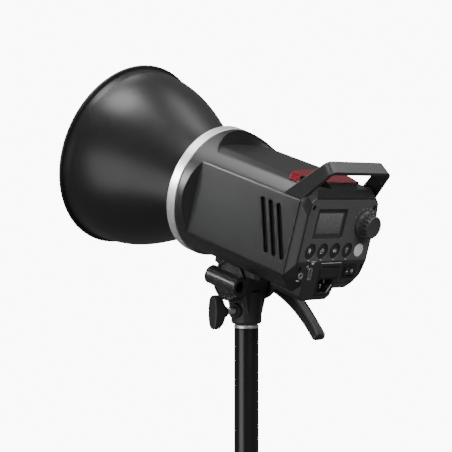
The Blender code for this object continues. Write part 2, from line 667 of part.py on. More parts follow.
def mains_inlet():
    """An appliance inlet with a fuse drawer's pocket above the socket."""
    depth = 23.0
    middle = PANEL_A + 0.6 - depth / 2
    inlet = keep(plate_mesh(INLET_OUTLINE, depth, "A"), "mains_inlet", head, (0, middle, 0), GLOSS_PLASTIC)
    socket = [(-5.4, -36.2), (13.0, -36.2), (13.0, -45.0), (10.6, -47.6), (-0.6, -47.6), (-5.4, -40.6)]
    cut(inlet, plate_mesh(socket, 34.0, "A"), (0, PANEL_A + 0.6, 0))
    cut(inlet, box_mesh((24.2, 40.0, 9.6)), (1.4, PANEL_A + 0.6, -29.8))
    for name, x, u, tip in (("inlet_pin_line", 9.2, -39.6, 5.0), ("inlet_pin_neutral", -1.6, -39.6, 5.0),
                            ("inlet_pin_earth", 3.8, -43.6, 3.6)):
        cut(inlet, box_mesh((2.6, 12.0, 4.6)), (x, PANEL_A - 18.0, u))
        keep(box_mesh((2.0, 17.0, 4.0), bevel=0.3, segments=1), name, head,
             (x, PANEL_A - tip - 8.5, u), BRASS)
    return inlet


def fuse_drawer():
    drawer = keep(box_mesh((23.6, 19.0, 9.0), bevel=0.4, segments=1), "fuse_drawer", head,
                  (1.4, PANEL_A - 8.5, -29.8), GLOSS_PLASTIC)
    cut(drawer, box_mesh((21.4, 6.2, 6.4)), (1.4, PANEL_A - 13.4, -27.6))
    keep(rod_mesh(2.6, 20.0, "X", sides=16), "fuse", head, (1.4, PANEL_A - 13.4, -28.0), CLEAR_GLASS)
    return drawer


def rocker_switch():
    """A switch frame and its rocker, which tips about an upright pin."""
    frame = keep(box_mesh((18.0, 14.6, 12.1), bevel=0.4, segments=1), "switch_frame", head,
                 (-26.0, PANEL_A - 6.7, -29.3), GLOSS_PLASTIC)
    cut(frame, box_mesh((15.4, 20.0, 9.5)), (-26.0, PANEL_A + 1.0, -29.3))
    dip = [(-7.2 + 14.4 * i / 6, 4.0 - 2.6 * math.sin(math.pi * i / 6)) for i in range(7)]
    face = [(-7.2, 0.6)] + dip + [(7.2, 0.6), (5.0, -3.2), (-5.0, -3.2)]
    mesh = plate_mesh(face, 8.8)
    mesh.transform(Matrix.Rotation(math.radians(5), 4, "Z"))
    keep(mesh, "rocker", head, (-26.0, PANEL_A - 2.6, -29.3), GLOSS_PLASTIC)


def ports():
    jack = keep(rod_mesh(2.9, 13.0, "A", sides=20), "sync_jack", head, (JACK_X, PANEL_A - 6.3, JACK_U), STEEL)
    cut(jack, rod_mesh(1.8, 12.0, "A", sides=16), (JACK_X, PANEL_A - 3.0, JACK_U))
    port = keep(box_mesh((4.5, 12.0, 10.5)), "usb_port", head, (26.6, PANEL_A - 6.0, -30.3), STEEL)
    cut(port, box_mesh((3.1, 20.0, 9.1)), (26.6, PANEL_A - 0.5, -30.3))
    join(port, box_mesh((1.0, 9.5, 7.6)), (27.3, PANEL_A - 6.5, -30.3))
    eye = keep(rod_mesh(3.0, 7.0, sides=20), "optical_sensor", head, (0, 60.0, 41.0), DARK_GLASS)
    return jack, port, eye


# ---------------------------------------------------------------- electronics inside

CAPACITOR_R, CAPACITOR_LEN = 17.0, 66.0
CAPACITOR_XS = (-21.5, 14.5)
CAPACITOR_A, CAPACITOR_U = 16.0, -19.0


def power_section():
    for name, x in zip(("capacitor_left", "capacitor_right"), CAPACITOR_XS):
        keep(rod_mesh(CAPACITOR_R, CAPACITOR_LEN, "A", sides=32), name, head,
             (x, CAPACITOR_A, CAPACITOR_U), SLEEVE_BLUE)
    clamp = keep(plate_mesh(rounded(76.0, 42.0, 3.0, -3.0, 0.0, 3), 3.0, "A"), "capacitor_clamp", head,
                 (0, CAPACITOR_A + 10.0, CAPACITOR_U), BLACK_PLASTIC)
    for x in CAPACITOR_XS:
        cut(clamp, rod_mesh(CAPACITOR_R + GAP, 8.0, "A", sides=32), (x, CAPACITOR_A + 10.0, CAPACITOR_U))
    keep(box_mesh((70.0, 92.0, 2.0)), "chassis_plate", head, (0, 12.0, -42.4), SATIN_ALUMINIUM)
    board = keep(box_mesh((72.0, 88.0, 1.6)), "power_board", head, (-10.0, 22.0, 7.0), BOARD_GREEN)
    for x, a in ((-34.0, 0.0), (-12.0, -4.0), (8.0, 52.0)):
        join(board, box_mesh((12.0, 16.0, 11.0)), (x, a, 12.6))
    keep(rod_mesh(9.0, 20.0, "A", sides=24), "trigger_coil", head, (-28.0, 38.0, 17.6), BRASS)


def cooling_fan():
    """An axial fan that blows across, behind the side vents."""
    side, thick = 48.0, 12.0
    x, a, u = 40.0, 55.0, 1.0
    frame = keep(box_mesh((thick, side, side)), "fan_frame", head, (x, a, u), BLACK_PLASTIC)
    cut(frame, rod_mesh(22.0, 20.0, "X", sides=40), (x, a, u))
    join(frame, rod_mesh(9.0, 2.0, "X", sides=24), (x - 5.0, a, u))
    join(frame, box_mesh((2.0, 46.0, 3.0)), (x - 5.0, a, u))
    rotor = keep(rod_mesh(9.0, 8.0, "X", sides=24), "fan_rotor", head, (x + 1.0, a, u), BLACK_PLASTIC)
    for i in range(7):
        blade = box_mesh((1.2, 5.5, 13.4), (0, 0, 14.0))
        blade.transform(Matrix.Rotation(math.tau * i / 7, 4, "X") @ Matrix.Rotation(math.radians(35), 4, "Z"))
        join(rotor, blade, (x + 1.0, a, u))


# ---------------------------------------------------------------- tilting bracket

def yoke():
    """The block under the body with two ears on the tilt bolt."""
    plan = [(22.0, -14.0)] + arc(0, -14.0, 22.0, -15, -165, 9)
    plan += [(-22.0, -14.0), (-22.0, 26.0), (-16.0, 32.0), (16.0, 32.0), (22.0, 26.0)]
    top, low, roof = -TOP_U - GAP, -57.8, -AXIS_RISE + ARM_R + 0.8
    block = keep(plate_mesh(plan, top - low, "Z", (0, 0, (top + low) / 2)), "yoke", head, finish=CAST_METAL)
    for s in (1, -1):
        ear = [(19.0, 12.0)] + arc(0, 0, EAR_R, 0, -180, 17) + [(-19.0, 12.0)]
        join(block, side_prism(ear, EAR_OUT - EAR_IN), (s * (EAR_IN + EAR_OUT) / 2, 0, -AXIS_RISE))
    cut(block, box_mesh((2 * EAR_IN, 90.0, 60.0)), (0, 0, roof - 30.0))
    cut(block, rod_mesh(4.3, 60.0, "X", sides=24), (0, 0, -AXIS_RISE))
    cut(block, rod_mesh(7.8, 4.0, "X", sides=24), (EAR_OUT - 1.8, 0, -AXIS_RISE))
    return block


def umbrella_tube():
    """A disc on the outer ear with the umbrella's tube across it, in line with the optical axis."""
    inner = EAR_OUT + GAP
    flange = 2.6
    holder = keep(rod_mesh(EAR_R - 0.4, flange, "X", sides=40), "umbrella_tube", head,
                  (inner + flange / 2, 0, -AXIS_RISE), CAST_METAL)
    cut(holder, rod_mesh(EAR_R - 2.2, 2.0, "X", sides=40), (inner + flange + 0.2, 0, -AXIS_RISE))
    join(holder, rod_mesh(TUBE_R, TUBE_LEN, "A", sides=32), (TUBE_X, 0, -AXIS_RISE))
    cut(holder, rod_mesh(TUBE_BORE, TUBE_LEN + 4, "A", sides=24), (TUBE_X, 0, -AXIS_RISE))
    cut(holder, box_mesh((20.0, 60.0, 60.0)), (inner - 10.0, 0, -AXIS_RISE))
    return holder


def tilt_bolt():
    bolt = keep(rod_mesh(4.0, 54.0, "X", (-7.0, 0, 0), 24), "tilt_bolt", pivot, finish=STEEL)
    join(bolt, rod_mesh(7.4, 3.2, "X", (EAR_OUT - 1.8, 0, 0), 6))
    return bolt


def tilt_lever():
    """The clamp lever: a hub on the bolt and a long curved grip with grooves along it."""
    inner, outer = -24.6, -38.0
    middle, width = (inner + outer) / 2, inner - outer
    start, bend, tip = Vector((0, 0)), Vector((31.0, -12.0)), Vector((59.0, -50.0))
    upper, lower = [], []
    count = 14
    for i in range(count + 1):
        t = i / count
        place = start * (1 - t) ** 2 + bend * 2 * t * (1 - t) + tip * t * t
        heading = ((bend - start) * (1 - t) + (tip - bend) * t).normalized()
        half = 4.3 + 5.2 * (1 - t) ** 1.6
        across = Vector((-heading.y, heading.x)) * half
        upper.append(tuple(place + across))
        lower.append(tuple(place - across))
    angle = math.degrees(math.atan2(heading.y, heading.x))
    nose = arc(tip.x, tip.y, half, angle + 90, angle - 90, 9)
    outline = upper + nose[1:-1] + lower[::-1]
    grip = keep(world_prism(outline, width, (middle, 0, 0)), "tilt_lever", stand, (0, 0, PIVOT_Z),
                BLACK_PLASTIC)
    soften(grip, 1.5)
    join(grip, rod_mesh(10.5, width + 0.6, "X", sides=32), (middle, 0, PIVOT_Z))
    cut(grip, rod_mesh(4.3, 11.0, "X", sides=24), (inner - 5.0, 0, PIVOT_Z))
    return grip


def soften(body, width, segments=1):
    edge = body.modifiers.new("Edge", "BEVEL")
    edge.width = width * MM
    edge.segments = segments
    edge.limit_method = "ANGLE"
    edge.angle_limit = math.radians(50)
    return body


def world_prism(outline, width, shift=(0, 0, 0)):
    """An outline of (Y, Z) points extruded across X."""
    return plate_mesh([(-z, y) for y, z in outline], width, "X", shift)


def washer(name, parent, at, radius, finish):
    disc = keep(rod_mesh(radius, 1.6, "X", sides=32), name, parent, at, finish)
    cut(disc, rod_mesh(4.4, 6.0, "X", sides=24), at)


def washers():
    reach = ARM_X + GAP + 0.8
    washer("friction_washer_left", stand, (-reach, 0, PIVOT_Z), 13.0, FIBRE)
    washer("friction_washer_right", stand, (reach, 0, PIVOT_Z), 13.0, FIBRE)
    washer("lever_washer", pivot, (-EAR_OUT - GAP - 0.8, 0, 0), 9.0, STEEL)


def stand_bracket():
    """The socket for the stand's stud, rising into an arm that carries the tilt bolt."""
    bore_mesh = rod_mesh(SOCKET_BORE, 2 * SOCKET_DEPTH, sides=28)
    profile = [(14.8, 30.0), (13.9, 1.6), (12.6, 0.0), (0.0, 0.0), (0.0, 30.0)]
    bracket = turned("stand_bracket", profile, stand, (0, 0, 0), 36, CAST_METAL, axis="Z")
    flank, low = 12.0, 6.0
    side_view = [(-11.2, low), (-flank, 24.0)] + arc(0, PIVOT_Z, ARM_R, 205, -25, 19)
    side_view += [(flank, 24.0), (11.2, low)]
    front_view = [(-ARM_X, 60.0), (-ARM_X, 27.0), (-8.6, low - 1), (8.6, low - 1), (ARM_X, 27.0)]
    front_view.append((ARM_X, 60.0))
    arm = keep(world_prism(side_view, 2 * ARM_X), "bracket_arm", stand)
    taper = plate_mesh(front_view, 60.0)
    taper.transform(Matrix.Rotation(math.radians(90), 4, "X"))
    combine(arm, keep(taper, "bracket_taper", stand), "INTERSECT")
    combine(bracket, arm, "UNION")
    join(bracket, rod_mesh(7.0, 8.0, "X", sides=24), (13.3, 0, LOCK_Z))
    cut(bracket, bore_mesh)
    cut(bracket, rod_mesh(4.3, 60.0, "X", sides=24), (0, 0, PIVOT_Z))
    cut(bracket, rod_mesh(3.2, 20.0, "X", sides=20), (15.0, 0, LOCK_Z))
    return bracket


def stand_lock():
    keep(rod_mesh(2.9, 22.4, "X", (8.6 + 11.2, 0, 0), 20), "lock_screw", stand, (0, 0, LOCK_Z), STEEL)
    inner, outer, half = 32.6, 45.4, 15.5
    wing = arc(outer - 3.0, half - 4.5, 4.5, 60, 100, 3) + arc(inner + 6.5, half - 7.0, 7.0, 100, 180, 4)
    wing = [(outer, 9.0)] + wing
    wing = wing + [(x, -z) for x, z in reversed(wing)]
    mesh = plate_mesh(wing, 11.0)
    mesh.transform(Matrix.Rotation(math.radians(90), 4, "X"))
    knob = soften(keep(mesh, "lock_knob", stand, (0, 0, LOCK_Z), BLACK_PLASTIC), 1.6)
    join(knob, rod_mesh(5.2, 6.0, "X", (31.8, 0, 0), 20), (0, 0, LOCK_Z))
    cut(knob, rod_mesh(3.2, 9.0, "X", sides=20), (27.5, 0, LOCK_Z))
    return knob


main_shell()
rear_housing()
control_panel()
panel_screws()
sensor_window()
carry_handle()
mount_ring()
bayonet_plate()
reflector_flange()
reflector()
tube_base()
flash_tube()
modelling_lamp()
led_heatsink()
release_latch()
display()
control_board()
buttons()
select_dial()
mains_inlet()
fuse_drawer()
rocker_switch()
ports()
power_section()
cooling_fan()
yoke()
umbrella_tube()
tilt_bolt()
tilt_lever()
washers()
stand_bracket()
stand_lock()
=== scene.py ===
"""The monolight strobe's looks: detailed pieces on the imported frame, their materials, light and camera.

Lengths in the shape code are millimetres. Head pieces use the head's own axes: X across, A rearwards
along the optical axis and U up, which a HEAD matrix lays into the world.
"""

import json
import math

import bmesh
import bpy
from mathutils import Matrix, Vector


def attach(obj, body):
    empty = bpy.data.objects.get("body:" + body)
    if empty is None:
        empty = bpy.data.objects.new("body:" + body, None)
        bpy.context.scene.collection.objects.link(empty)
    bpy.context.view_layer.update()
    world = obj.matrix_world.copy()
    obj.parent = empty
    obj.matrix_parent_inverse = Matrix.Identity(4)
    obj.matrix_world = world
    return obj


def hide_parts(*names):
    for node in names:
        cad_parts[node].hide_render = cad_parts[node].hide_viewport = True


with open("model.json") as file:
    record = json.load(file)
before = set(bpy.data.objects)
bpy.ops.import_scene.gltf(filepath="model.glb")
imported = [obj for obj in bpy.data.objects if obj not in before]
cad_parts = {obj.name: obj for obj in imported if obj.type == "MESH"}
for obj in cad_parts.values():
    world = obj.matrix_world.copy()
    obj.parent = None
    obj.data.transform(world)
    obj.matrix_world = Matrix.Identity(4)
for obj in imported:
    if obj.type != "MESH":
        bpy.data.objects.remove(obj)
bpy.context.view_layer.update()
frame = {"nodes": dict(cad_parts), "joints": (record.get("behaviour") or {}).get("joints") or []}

MM = 0.001
GAP = 0.3
TURN = 2 * math.pi

joints = {joint["name"]: joint for joint in frame["joints"]}
REARWARD = Vector(joints["dial_turn"]["axis"])
TILT = math.atan2(-REARWARD.z, REARWARD.y)
PIVOT = Matrix.Translation(joints["head_tilt"]["pos_m"]) @ Matrix.Rotation(-TILT, 4, "X")
HEAD = Matrix.Translation(joints["reflector_twist"]["pos_m"]) @ Matrix.Rotation(-TILT, 4, "X")
WORLD = Matrix.Identity(4)
PIVOT_Z = joints["head_tilt"]["pos_m"][2] / MM
LOCK_Z = joints["lock_turn"]["pos_m"][2] / MM

# How flat work's x, y and thickness lie in the head, and where a turned piece's A axis goes
ON_REAR = Matrix(((1, 0, 0, 0), (0, 0, -1, 0), (0, 1, 0, 0), (0, 0, 0, 1)))
ON_SIDE = Matrix(((0, 0, 1, 0), (1, 0, 0, 0), (0, 1, 0, 0), (0, 0, 0, 1)))
TO_X = Matrix.Rotation(math.radians(-90), 4, "Z")
TO_Z = Matrix.Rotation(math.radians(90), 4, "X")

# The body's section of cylinder and flats, its bevelled strips, and the notches for the handle's legs
BODY_R, SIDE_X, TOP_U, WALL = 60.8, 51.0, 48.0, 2.6
SHELL_FRONT, SHELL_REAR, PANEL_A, PANEL_THICK = -51.4, 82.0, 91.2, 2.3
SIDE_START, SIDE_SLOPE = -36.5, 0.72
DECK_START, DECK_ARC = -47.5, 60.0
KEEL_START, KEEL_SLOPE = -38.0, 0.977
BEVEL_X, BEVEL_NORMAL = 33.0, math.radians(66.0)
BEVEL_REACH = BEVEL_X * math.cos(BEVEL_NORMAL) + TOP_U * math.sin(BEVEL_NORMAL)
NOTCH_U, NOTCH_FRONT, WINDOW_REAR_X = 44.0, 62.5, 19.5
SIDE_ANGLE = math.degrees(math.acos(SIDE_X / BODY_R))
STRIP_ANGLE = math.degrees(BEVEL_NORMAL - math.acos(BEVEL_REACH / BODY_R))
KEEL_ANGLE = math.degrees(math.asin(TOP_U / BODY_R))
BODY_FLATS = [(0, SIDE_X), (math.pi, SIDE_X), (math.pi / 2, TOP_U), (-math.pi / 2, TOP_U),
              (BEVEL_NORMAL, BEVEL_REACH), (math.pi - BEVEL_NORMAL, BEVEL_REACH)]
# The panel, its chin, and the middles of what sits in it
PANEL_SIDE = [(40.5, 37.6), (45.5, 32.5), (47.4, 21.0), (47.4, -20.0)]
CHIN = [(34.5, -50.5), (31.0, -54.5), (-1.8, -54.5), (-6.6, -51.3)]
PANEL_OUTLINE = PANEL_SIDE + [(43.5, -32.0), (36.0, -39.0)] + CHIN + [(-10.7, -40.2), (-34.0, -40.2)]
PANEL_OUTLINE += [(-43.0, -32.0)] + [(-x, u) for x, u in reversed(PANEL_SIDE)]
CHIN_OUTLINE = [(34.5, -38.0)] + CHIN + [(-11.5, -38.0)]
CHIN_FRONT = 57.0
CHIN_SOFT = [0, 1.5, 2.5, 2.5, 2.0, 0]
INLET_OUTLINE = [(14.5, -24.6), (14.5, -50.3), (-2.0, -50.3), (-5.2, -47.6), (-8.4, -39.6), (-11.7, -37.4),
                 (-11.7, -24.6)]
BUTTON_U = -10.0
BUTTON_XS = (33.1, 16.8, 0.3, -16.8)
TEST_X = -33.1
DIAL_X, DIAL_U = -30.8, 14.2
JACK_X, JACK_U = 38.6, -31.6
DISPLAY_X, DISPLAY_U = 14.9, 14.65
SWITCH_X, SWITCH_U = -26.0, -29.3
USB_X, USB_U = 26.6, -30.3
DRAWER_X, DRAWER_U = 1.4, -29.8
KEY_BASE_A = 85.6
PRINT_LIFT = 0.05
SCREWS = ((41.3, 28.8), (-41.3, 28.8), (42.0, -25.5), (-42.0, -25.5))
# The reflector's rim, the silver ring, the umbrella tube and the bolt's hole in the yoke
RIM_R, RIM_A = 90.0, -181.9
RING_R, RING_FRONT = 61.2, -62.0
TUBE_X = 27.8
BOLT_U, BOLT_HOLE_R = -67.3, 4.3

# The camera in metres, and what the lights and the stand are measured from
CAMERA_AT = (0.99844, 0.91265, 0.11062)
CAMERA_TURN, CAMERA_RISE, LENS_MM = math.radians(133.22), math.radians(0.91), 117.94
LIGHTS_TURN, LIGHTS_Z = 43.2, 0.10
POLE_LENGTH = 880.0


# ---- shapes

def arc(cx, cy, radius, start, end, count):
    turns = [math.radians(start + (end - start) * i / (count - 1)) for i in range(count)]
    return [(cx + radius * math.cos(t), cy + radius * math.sin(t)) for t in turns]


def curved(start, bend, end, t):
    """A point of the curve that leaves start towards bend and arrives at end."""
    return start * (1 - t) ** 2 + bend * 2 * t * (1 - t) + end * t * t


def circle(radius, cx=0.0, cy=0.0, count=48):
    return arc(cx, cy, radius, 0, 360 - 360 / count, count)


def rounded(width, height, radius, cx=0.0, cy=0.0, count=6):
    w, h = width / 2 - radius, height / 2 - radius
    corners = ((w, h, 0), (-w, h, 90), (-w, -h, 180), (w, -h, 270))
    return [p for x, y, a in corners for p in arc(cx + x, cy + y, radius, a, a + 90, count)]


def area(outline):
    return sum(a[0] * b[1] - b[0] * a[1] for a, b in zip(outline, outline[1:] + outline[:1])) / 2


def grown(outline, distance):
    """The outline moved outwards along its corners' bisectors."""
    side = 1.0 if area(outline) > 0 else -1.0
    moved = []
    for before, here, after in zip(outline[-1:] + outline[:-1], outline, outline[1:] + outline[:1]):
        p, q, r = Vector(before), Vector(here), Vector(after)
        d1, d2 = (q - p).normalized(), (r - q).normalized()
        n1, n2 = Vector((d1.y, -d1.x)) * side, Vector((d2.y, -d2.x)) * side
        middle = (n1 + n2).normalized()
        moved.append(tuple(q + middle * distance / max(middle.dot(n1), 0.3)))
    return moved


def eased(points, radius, closed=True, count=4):
    """The same run of points with its corners eased into curves; one radius, or one for each corner."""
    radii = radius if isinstance(radius, (list, tuple)) else [radius] * len(points)
    out = []
    for i, (here, r) in enumerate(zip(points, radii)):
        if r <= 0 or (not closed and i in (0, len(points) - 1)):
            out.append(tuple(here))
            continue
        q = Vector(here)
        u, v = Vector(points[i - 1]) - q, Vector(points[(i + 1) % len(points)]) - q
        if u.length < 1e-6 or v.length < 1e-6:
            out += [tuple(here)] * (count + 1)
            continue
        half = u.angle(v) / 2
        reach = min(r / max(math.tan(half), 0.05), 0.47 * u.length, 0.47 * v.length)
        a, b = q + u.normalized() * reach, q + v.normalized() * reach
        out += [tuple(curved(a, q, b, k / count)) for k in range(count + 1)]
    return out


def spaced(start, end, count):
    """Points between two points, without them."""
    return [tuple(Vector(start).lerp(Vector(end), i / (count + 1))) for i in range(1, count + 1)]


def divided(run, index, count):
    """The run with extra points ahead of one of its points."""
    return run[:index] + spaced(run[index - 1], run[index], count) + run[index:]


def finished(shape):
    """A mesh from a bmesh, welded, with its faces turned outwards."""
    bmesh.ops.remove_doubles(shape, verts=shape.verts, dist=0.000002)
    bmesh.ops.dissolve_degenerate(shape, edges=shape.edges, dist=0.0000005)
    bmesh.ops.recalc_face_normals(shape, faces=shape.faces)
    mesh = bpy.data.meshes.new("mesh")
    shape.to_mesh(mesh)
    shape.free()
    return mesh


def skin(rows, along=False):
    """Quads over closed rows of points; along joins the last row to the first, or else caps close it."""
    shape = bmesh.new()
    grid = [[shape.verts.new(Vector(p) * MM) for p in row] for row in rows]
    count = len(grid[0])
    for low, high in list(zip(grid, grid[1:])) + ([(grid[-1], grid[0])] if along else []):
        for i in range(count):
            j = (i + 1) % count
            shape.faces.new((low[i], low[j], high[j], high[i]))
    if not along:
        shape.faces.new(grid[0][::-1])
        shape.faces.new(grid[-1])
    return finished(shape)


def lathe(profile, steps=96, wave=None, place=None, at=(0, 0, 0)):
    """A closed run of (radius, A) points turned about the A axis; wave changes a radius by angle."""
    rows = []
    for i in range(steps):
        t = TURN * i / steps
        line = [(wave(r, a, t), a) for r, a in profile] if wave else profile
        rows.append([(r * math.cos(t), a, r * math.sin(t)) for r, a in line])
    return moved(skin(rows, along=True), at, place)


def moved(mesh, at=(0, 0, 0), place=None):
    """The mesh turned by a matrix and then moved."""
    if place:
        mesh.transform(place)
    mesh.transform(Matrix.Translation(Vector(at) * MM))
    return mesh


def plate(outline, thickness, edge=0.3, holes=(), place=ON_REAR, at=(0, 0, 0)):
    """Flat work with holes and rounded edges, centred on its thickness."""
    curve = bpy.data.curves.new("plate", "CURVE")
    curve.dimensions = "2D"
    curve.fill_mode = "BOTH"
    curve.extrude = (thickness / 2 - edge) * MM
    curve.bevel_depth = edge * MM
    curve.bevel_resolution = 2
    curve.offset = -edge * MM
    for loop, side in [(outline, 1)] + [(hole, -1) for hole in holes]:
        points = loop if area(loop) * side > 0 else loop[::-1]
        spline = curve.splines.new("POLY")
        spline.points.add(len(points) - 1)
        for point, (x, y) in zip(spline.points, points):
            point.co = (x * MM, y * MM, 0, 1)
        spline.use_cyclic_u = True
    holder = bpy.data.objects.new("plate", curve)
    mesh = baked(holder)
    bpy.data.curves.remove(curve)
    shape = bmesh.new()
    shape.from_mesh(mesh)
    bpy.data.meshes.remove(mesh)
    return moved(finished(shape), at, place)


def baked(holder):
    """The evaluated mesh of an object that isn't in the scene yet; the object is removed."""
    bpy.context.scene.collection.objects.link(holder)
    bpy.context.view_layer.update()
    mesh = bpy.data.meshes.new_from_object(holder.evaluated_get(bpy.context.evaluated_depsgraph_get()))
    bpy.data.objects.remove(holder)
    return mesh


def carve(mesh, tools, operation="DIFFERENCE"):
    """The mesh with each tool mesh cut away from it, or joined to it."""
    holder = bpy.data.objects.new("carved", mesh)
    helpers = []
    for tool in tools:
        helper = bpy.data.objects.new("tool", tool)
        bpy.context.scene.collection.objects.link(helper)
        change = holder.modifiers.new("Change", "BOOLEAN")
        change.operation = operation
        change.solver = "EXACT"
        change.object = helper
        helpers.append(helper)
    made = baked(holder)
    for helper in helpers:
        bpy.data.objects.remove(helper)
    return made


def casting(parts, holes=()):
    """Shapes joined, then drilled."""
    return carve(carve(parts[0], parts[1:], "UNION"), holes)


def box(size, at=(0, 0, 0), edge=0.0, segments=3):
    shape = bmesh.new()
    bmesh.ops.create_cube(shape, size=1.0)
    bmesh.ops.scale(shape, vec=Vector(size) * MM, verts=shape.verts)
    if edge:
        bmesh.ops.bevel(shape, geom=shape.edges[:], offset=edge * MM, segments=segments, affect="EDGES",
                        profile=0.5)
    return moved(finished(shape), at)


def rod(radius, start, end, at=(0, 0, 0), place=None, edge=0.0, steps=48, end_radius=None):
    """A round bar along A from start to end, with eased rims."""
    tip = radius if end_radius is None else end_radius
    profile = eased([(0, start), (radius, start), (tip, end), (0, end)], [0, edge, edge, 0], count=3)
    return lathe(profile, steps, None, place, at)


def merged(meshes):
    """Separate shapes kept in one mesh, such as the marks of one print."""
    shape = bmesh.new()
    for mesh in meshes:
        shape.from_mesh(mesh)
        bpy.data.meshes.remove(mesh)
    return finished(shape)


def piece(name, mesh, body, finish, node=None, place=HEAD, sharp=32.0):
    """A finished piece in place, riding on its body and standing for its CAD node."""
    made = bpy.data.objects.new(name, mesh)
    bpy.context.scene.collection.objects.link(made)
    made.matrix_world = place
    mesh.materials.clear()
    mesh.materials.append(finish)
    mesh.shade_smooth()
    mesh.set_sharp_from_angle(angle=math.radians(sharp))
    even = made.modifiers.new("Even", "WEIGHTED_NORMAL")
    even.keep_sharp = True
    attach(made, body)
    if node:
        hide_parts(node)


# ---- materials

class Shader:
    """Short names for wiring a Principled material."""

    def __init__(self, name, slot):
        self.material = bpy.data.materials.new(name)
        self.material["slot"] = slot
        self.material.use_nodes = True
        self.nodes = self.material.node_tree.nodes
        self.links = self.material.node_tree.links
        self.surface = self.nodes["Principled BSDF"]
        self.coords = self.node("ShaderNodeTexCoord").outputs["Object"]

    def node(self, kind, inputs=None, **settings):
        made = self.nodes.new(kind)
        for key, value in settings.items():
            setattr(made, key, value)
        for key, value in (inputs or {}).items():
            self.put(made.inputs[key], value)
        return made

    def put(self, socket, value):
        if isinstance(value, bpy.types.NodeSocket):
            self.links.new(value, socket)
        else:
            socket.default_value = value

    def noise(self, size_mm, detail=3.0, roughness=0.5, coords=None):
        made = self.node("ShaderNodeTexNoise", {"Vector": coords or self.coords, "Scale": 1 / (size_mm * MM),
                                                "Detail": detail, "Roughness": roughness})
        return made.outputs["Fac"]

    def ramp(self, value, low, high, to_low=0.0, to_high=1.0):
        made = self.node("ShaderNodeMapRange", {"Value": value, "From Min": low, "From Max": high,
                                                "To Min": to_low, "To Max": to_high})
        return made.outputs["Result"]

    def maths(self, operation, one, two=0.0):
        made = self.node("ShaderNodeMath", operation=operation)
        self.put(made.inputs[0], one)
        self.put(made.inputs[1], two)
        return made.outputs["Value"]

    def mix(self, share, one, two):
        made = self.node("ShaderNodeMix", data_type="RGBA")
        self.put(made.inputs["Factor"], share)
        self.put(made.inputs["A"], one)
        self.put(made.inputs["B"], two)
        return made.outputs["Result"]

    def part(self, axis):
        return self.node("ShaderNodeSeparateXYZ", {"Vector": self.coords}).outputs[axis]

    def bump(self, height, distance_mm, fillet_mm=0.0):
        """Relief from a height; a fillet also rounds the look of inner and outer corners."""
        made = self.node("ShaderNodeBump", {"Height": height, "Distance": distance_mm * MM, "Strength": 1.0})
        if fillet_mm:
            soft = self.node("ShaderNodeBevel", {"Radius": fillet_mm * MM}, samples=6)
            self.links.new(soft.outputs["Normal"], made.inputs["Normal"])
        return made.outputs["Normal"]

    def edges(self, width_mm):
        """1 on the object's convex and concave edges, 0 on its faces."""
        soft = self.node("ShaderNodeBevel", {"Radius": width_mm * MM}, samples=4)
        true = self.node("ShaderNodeNewGeometry")
        dot = self.node("ShaderNodeVectorMath", operation="DOT_PRODUCT")
        self.links.new(soft.outputs["Normal"], dot.inputs[0])
        self.links.new(true.outputs["Normal"], dot.inputs[1])
        return self.ramp(dot.outputs["Value"], 0.99, 0.86)

    def set(self, **inputs):
        for key, value in inputs.items():
            self.put(self.surface.inputs[key.replace("_", " ")], value)
        return self.material


def grey(value):
    return (value, value, value, 1.0)


def moulded(name, slot, tone, rough, grain=0.35, depth=0.008, rub_and_glint=0.2, fillet=0.0):
    """Moulded or coated black stock: fine grain, patchy gloss, edges a little brighter, partly as rubbed
    wear and partly as a painted highlight.
    """
    s = Shader(name, slot)
    patches = s.noise(16.0, 3.0)
    fine = s.noise(grain, 2.0, 0.5)
    # Edges painted brighter: partly rubbed wear, partly a painted highlight where edges catch the light
    rubbed_and_glinting = s.maths("MULTIPLY", s.edges(0.3), s.ramp(s.noise(3.0, 5.0), 0.42, 0.68, 0.0, rub_and_glint))
    base = s.mix(s.ramp(patches, 0.3, 0.7), grey(tone * 0.94), grey(tone * 1.06))
    speck = s.mix(s.ramp(fine, 0.35, 0.72, 0.0, 0.2), base, grey(tone * 1.4))
    colour = s.mix(rubbed_and_glinting, speck, grey(tone * 2.0 + 0.015))
    uneven = s.ramp(patches, 0.3, 0.7, rough - 0.015, rough + 0.02)
    gloss = s.maths("ADD", uneven, s.ramp(fine, 0.3, 0.7, -0.015, 0.015))
    return s.set(Base_Color=colour, Roughness=gloss, Normal=s.bump(fine, depth, fillet_mm=fillet))


def turned_metal(name, slot, tone, rough, line=0.18):
    """Metal turned on a lathe: fine rings round the A axis, faint smudges."""
    s = Shader(name, slot)
    x, a, u = s.node("ShaderNodeSeparateXYZ", {"Vector": s.coords}).outputs
    radius = s.maths("SQRT", s.maths("ADD", s.maths("MULTIPLY", x, x), s.maths("MULTIPLY", u, u)))
    ringed = s.node("ShaderNodeCombineXYZ", {"X": radius, "Y": a, "Z": 0.0}).outputs["Vector"]
    lines = s.noise(line, 2.0, 0.5, ringed)
    smudge = s.noise(9.0, 4.0)
    colour = s.mix(s.ramp(smudge, 0.35, 0.7), grey(tone), grey(tone * 0.9))
    gloss = s.ramp(s.maths("ADD", lines, smudge), 0.7, 1.3, rough - 0.05, rough + 0.08)
    return s.set(Base_Color=colour, Metallic=0.8, Roughness=gloss, Normal=s.bump(lines, 0.006))


def clear_part(name, slot, colour, rough, through):
    """Glass or tinted plastic that light passes through, with a faint haze."""
    s = Shader(name, slot)
    haze = s.noise(6.0, 4.0)
    return s.set(Base_Color=colour, Roughness=s.ramp(haze, 0.3, 0.7, rough * 0.6, rough * 1.5), IOR=1.46,
                 Transmission_Weight=through, Normal=s.bump(s.noise(1.2), 0.002))


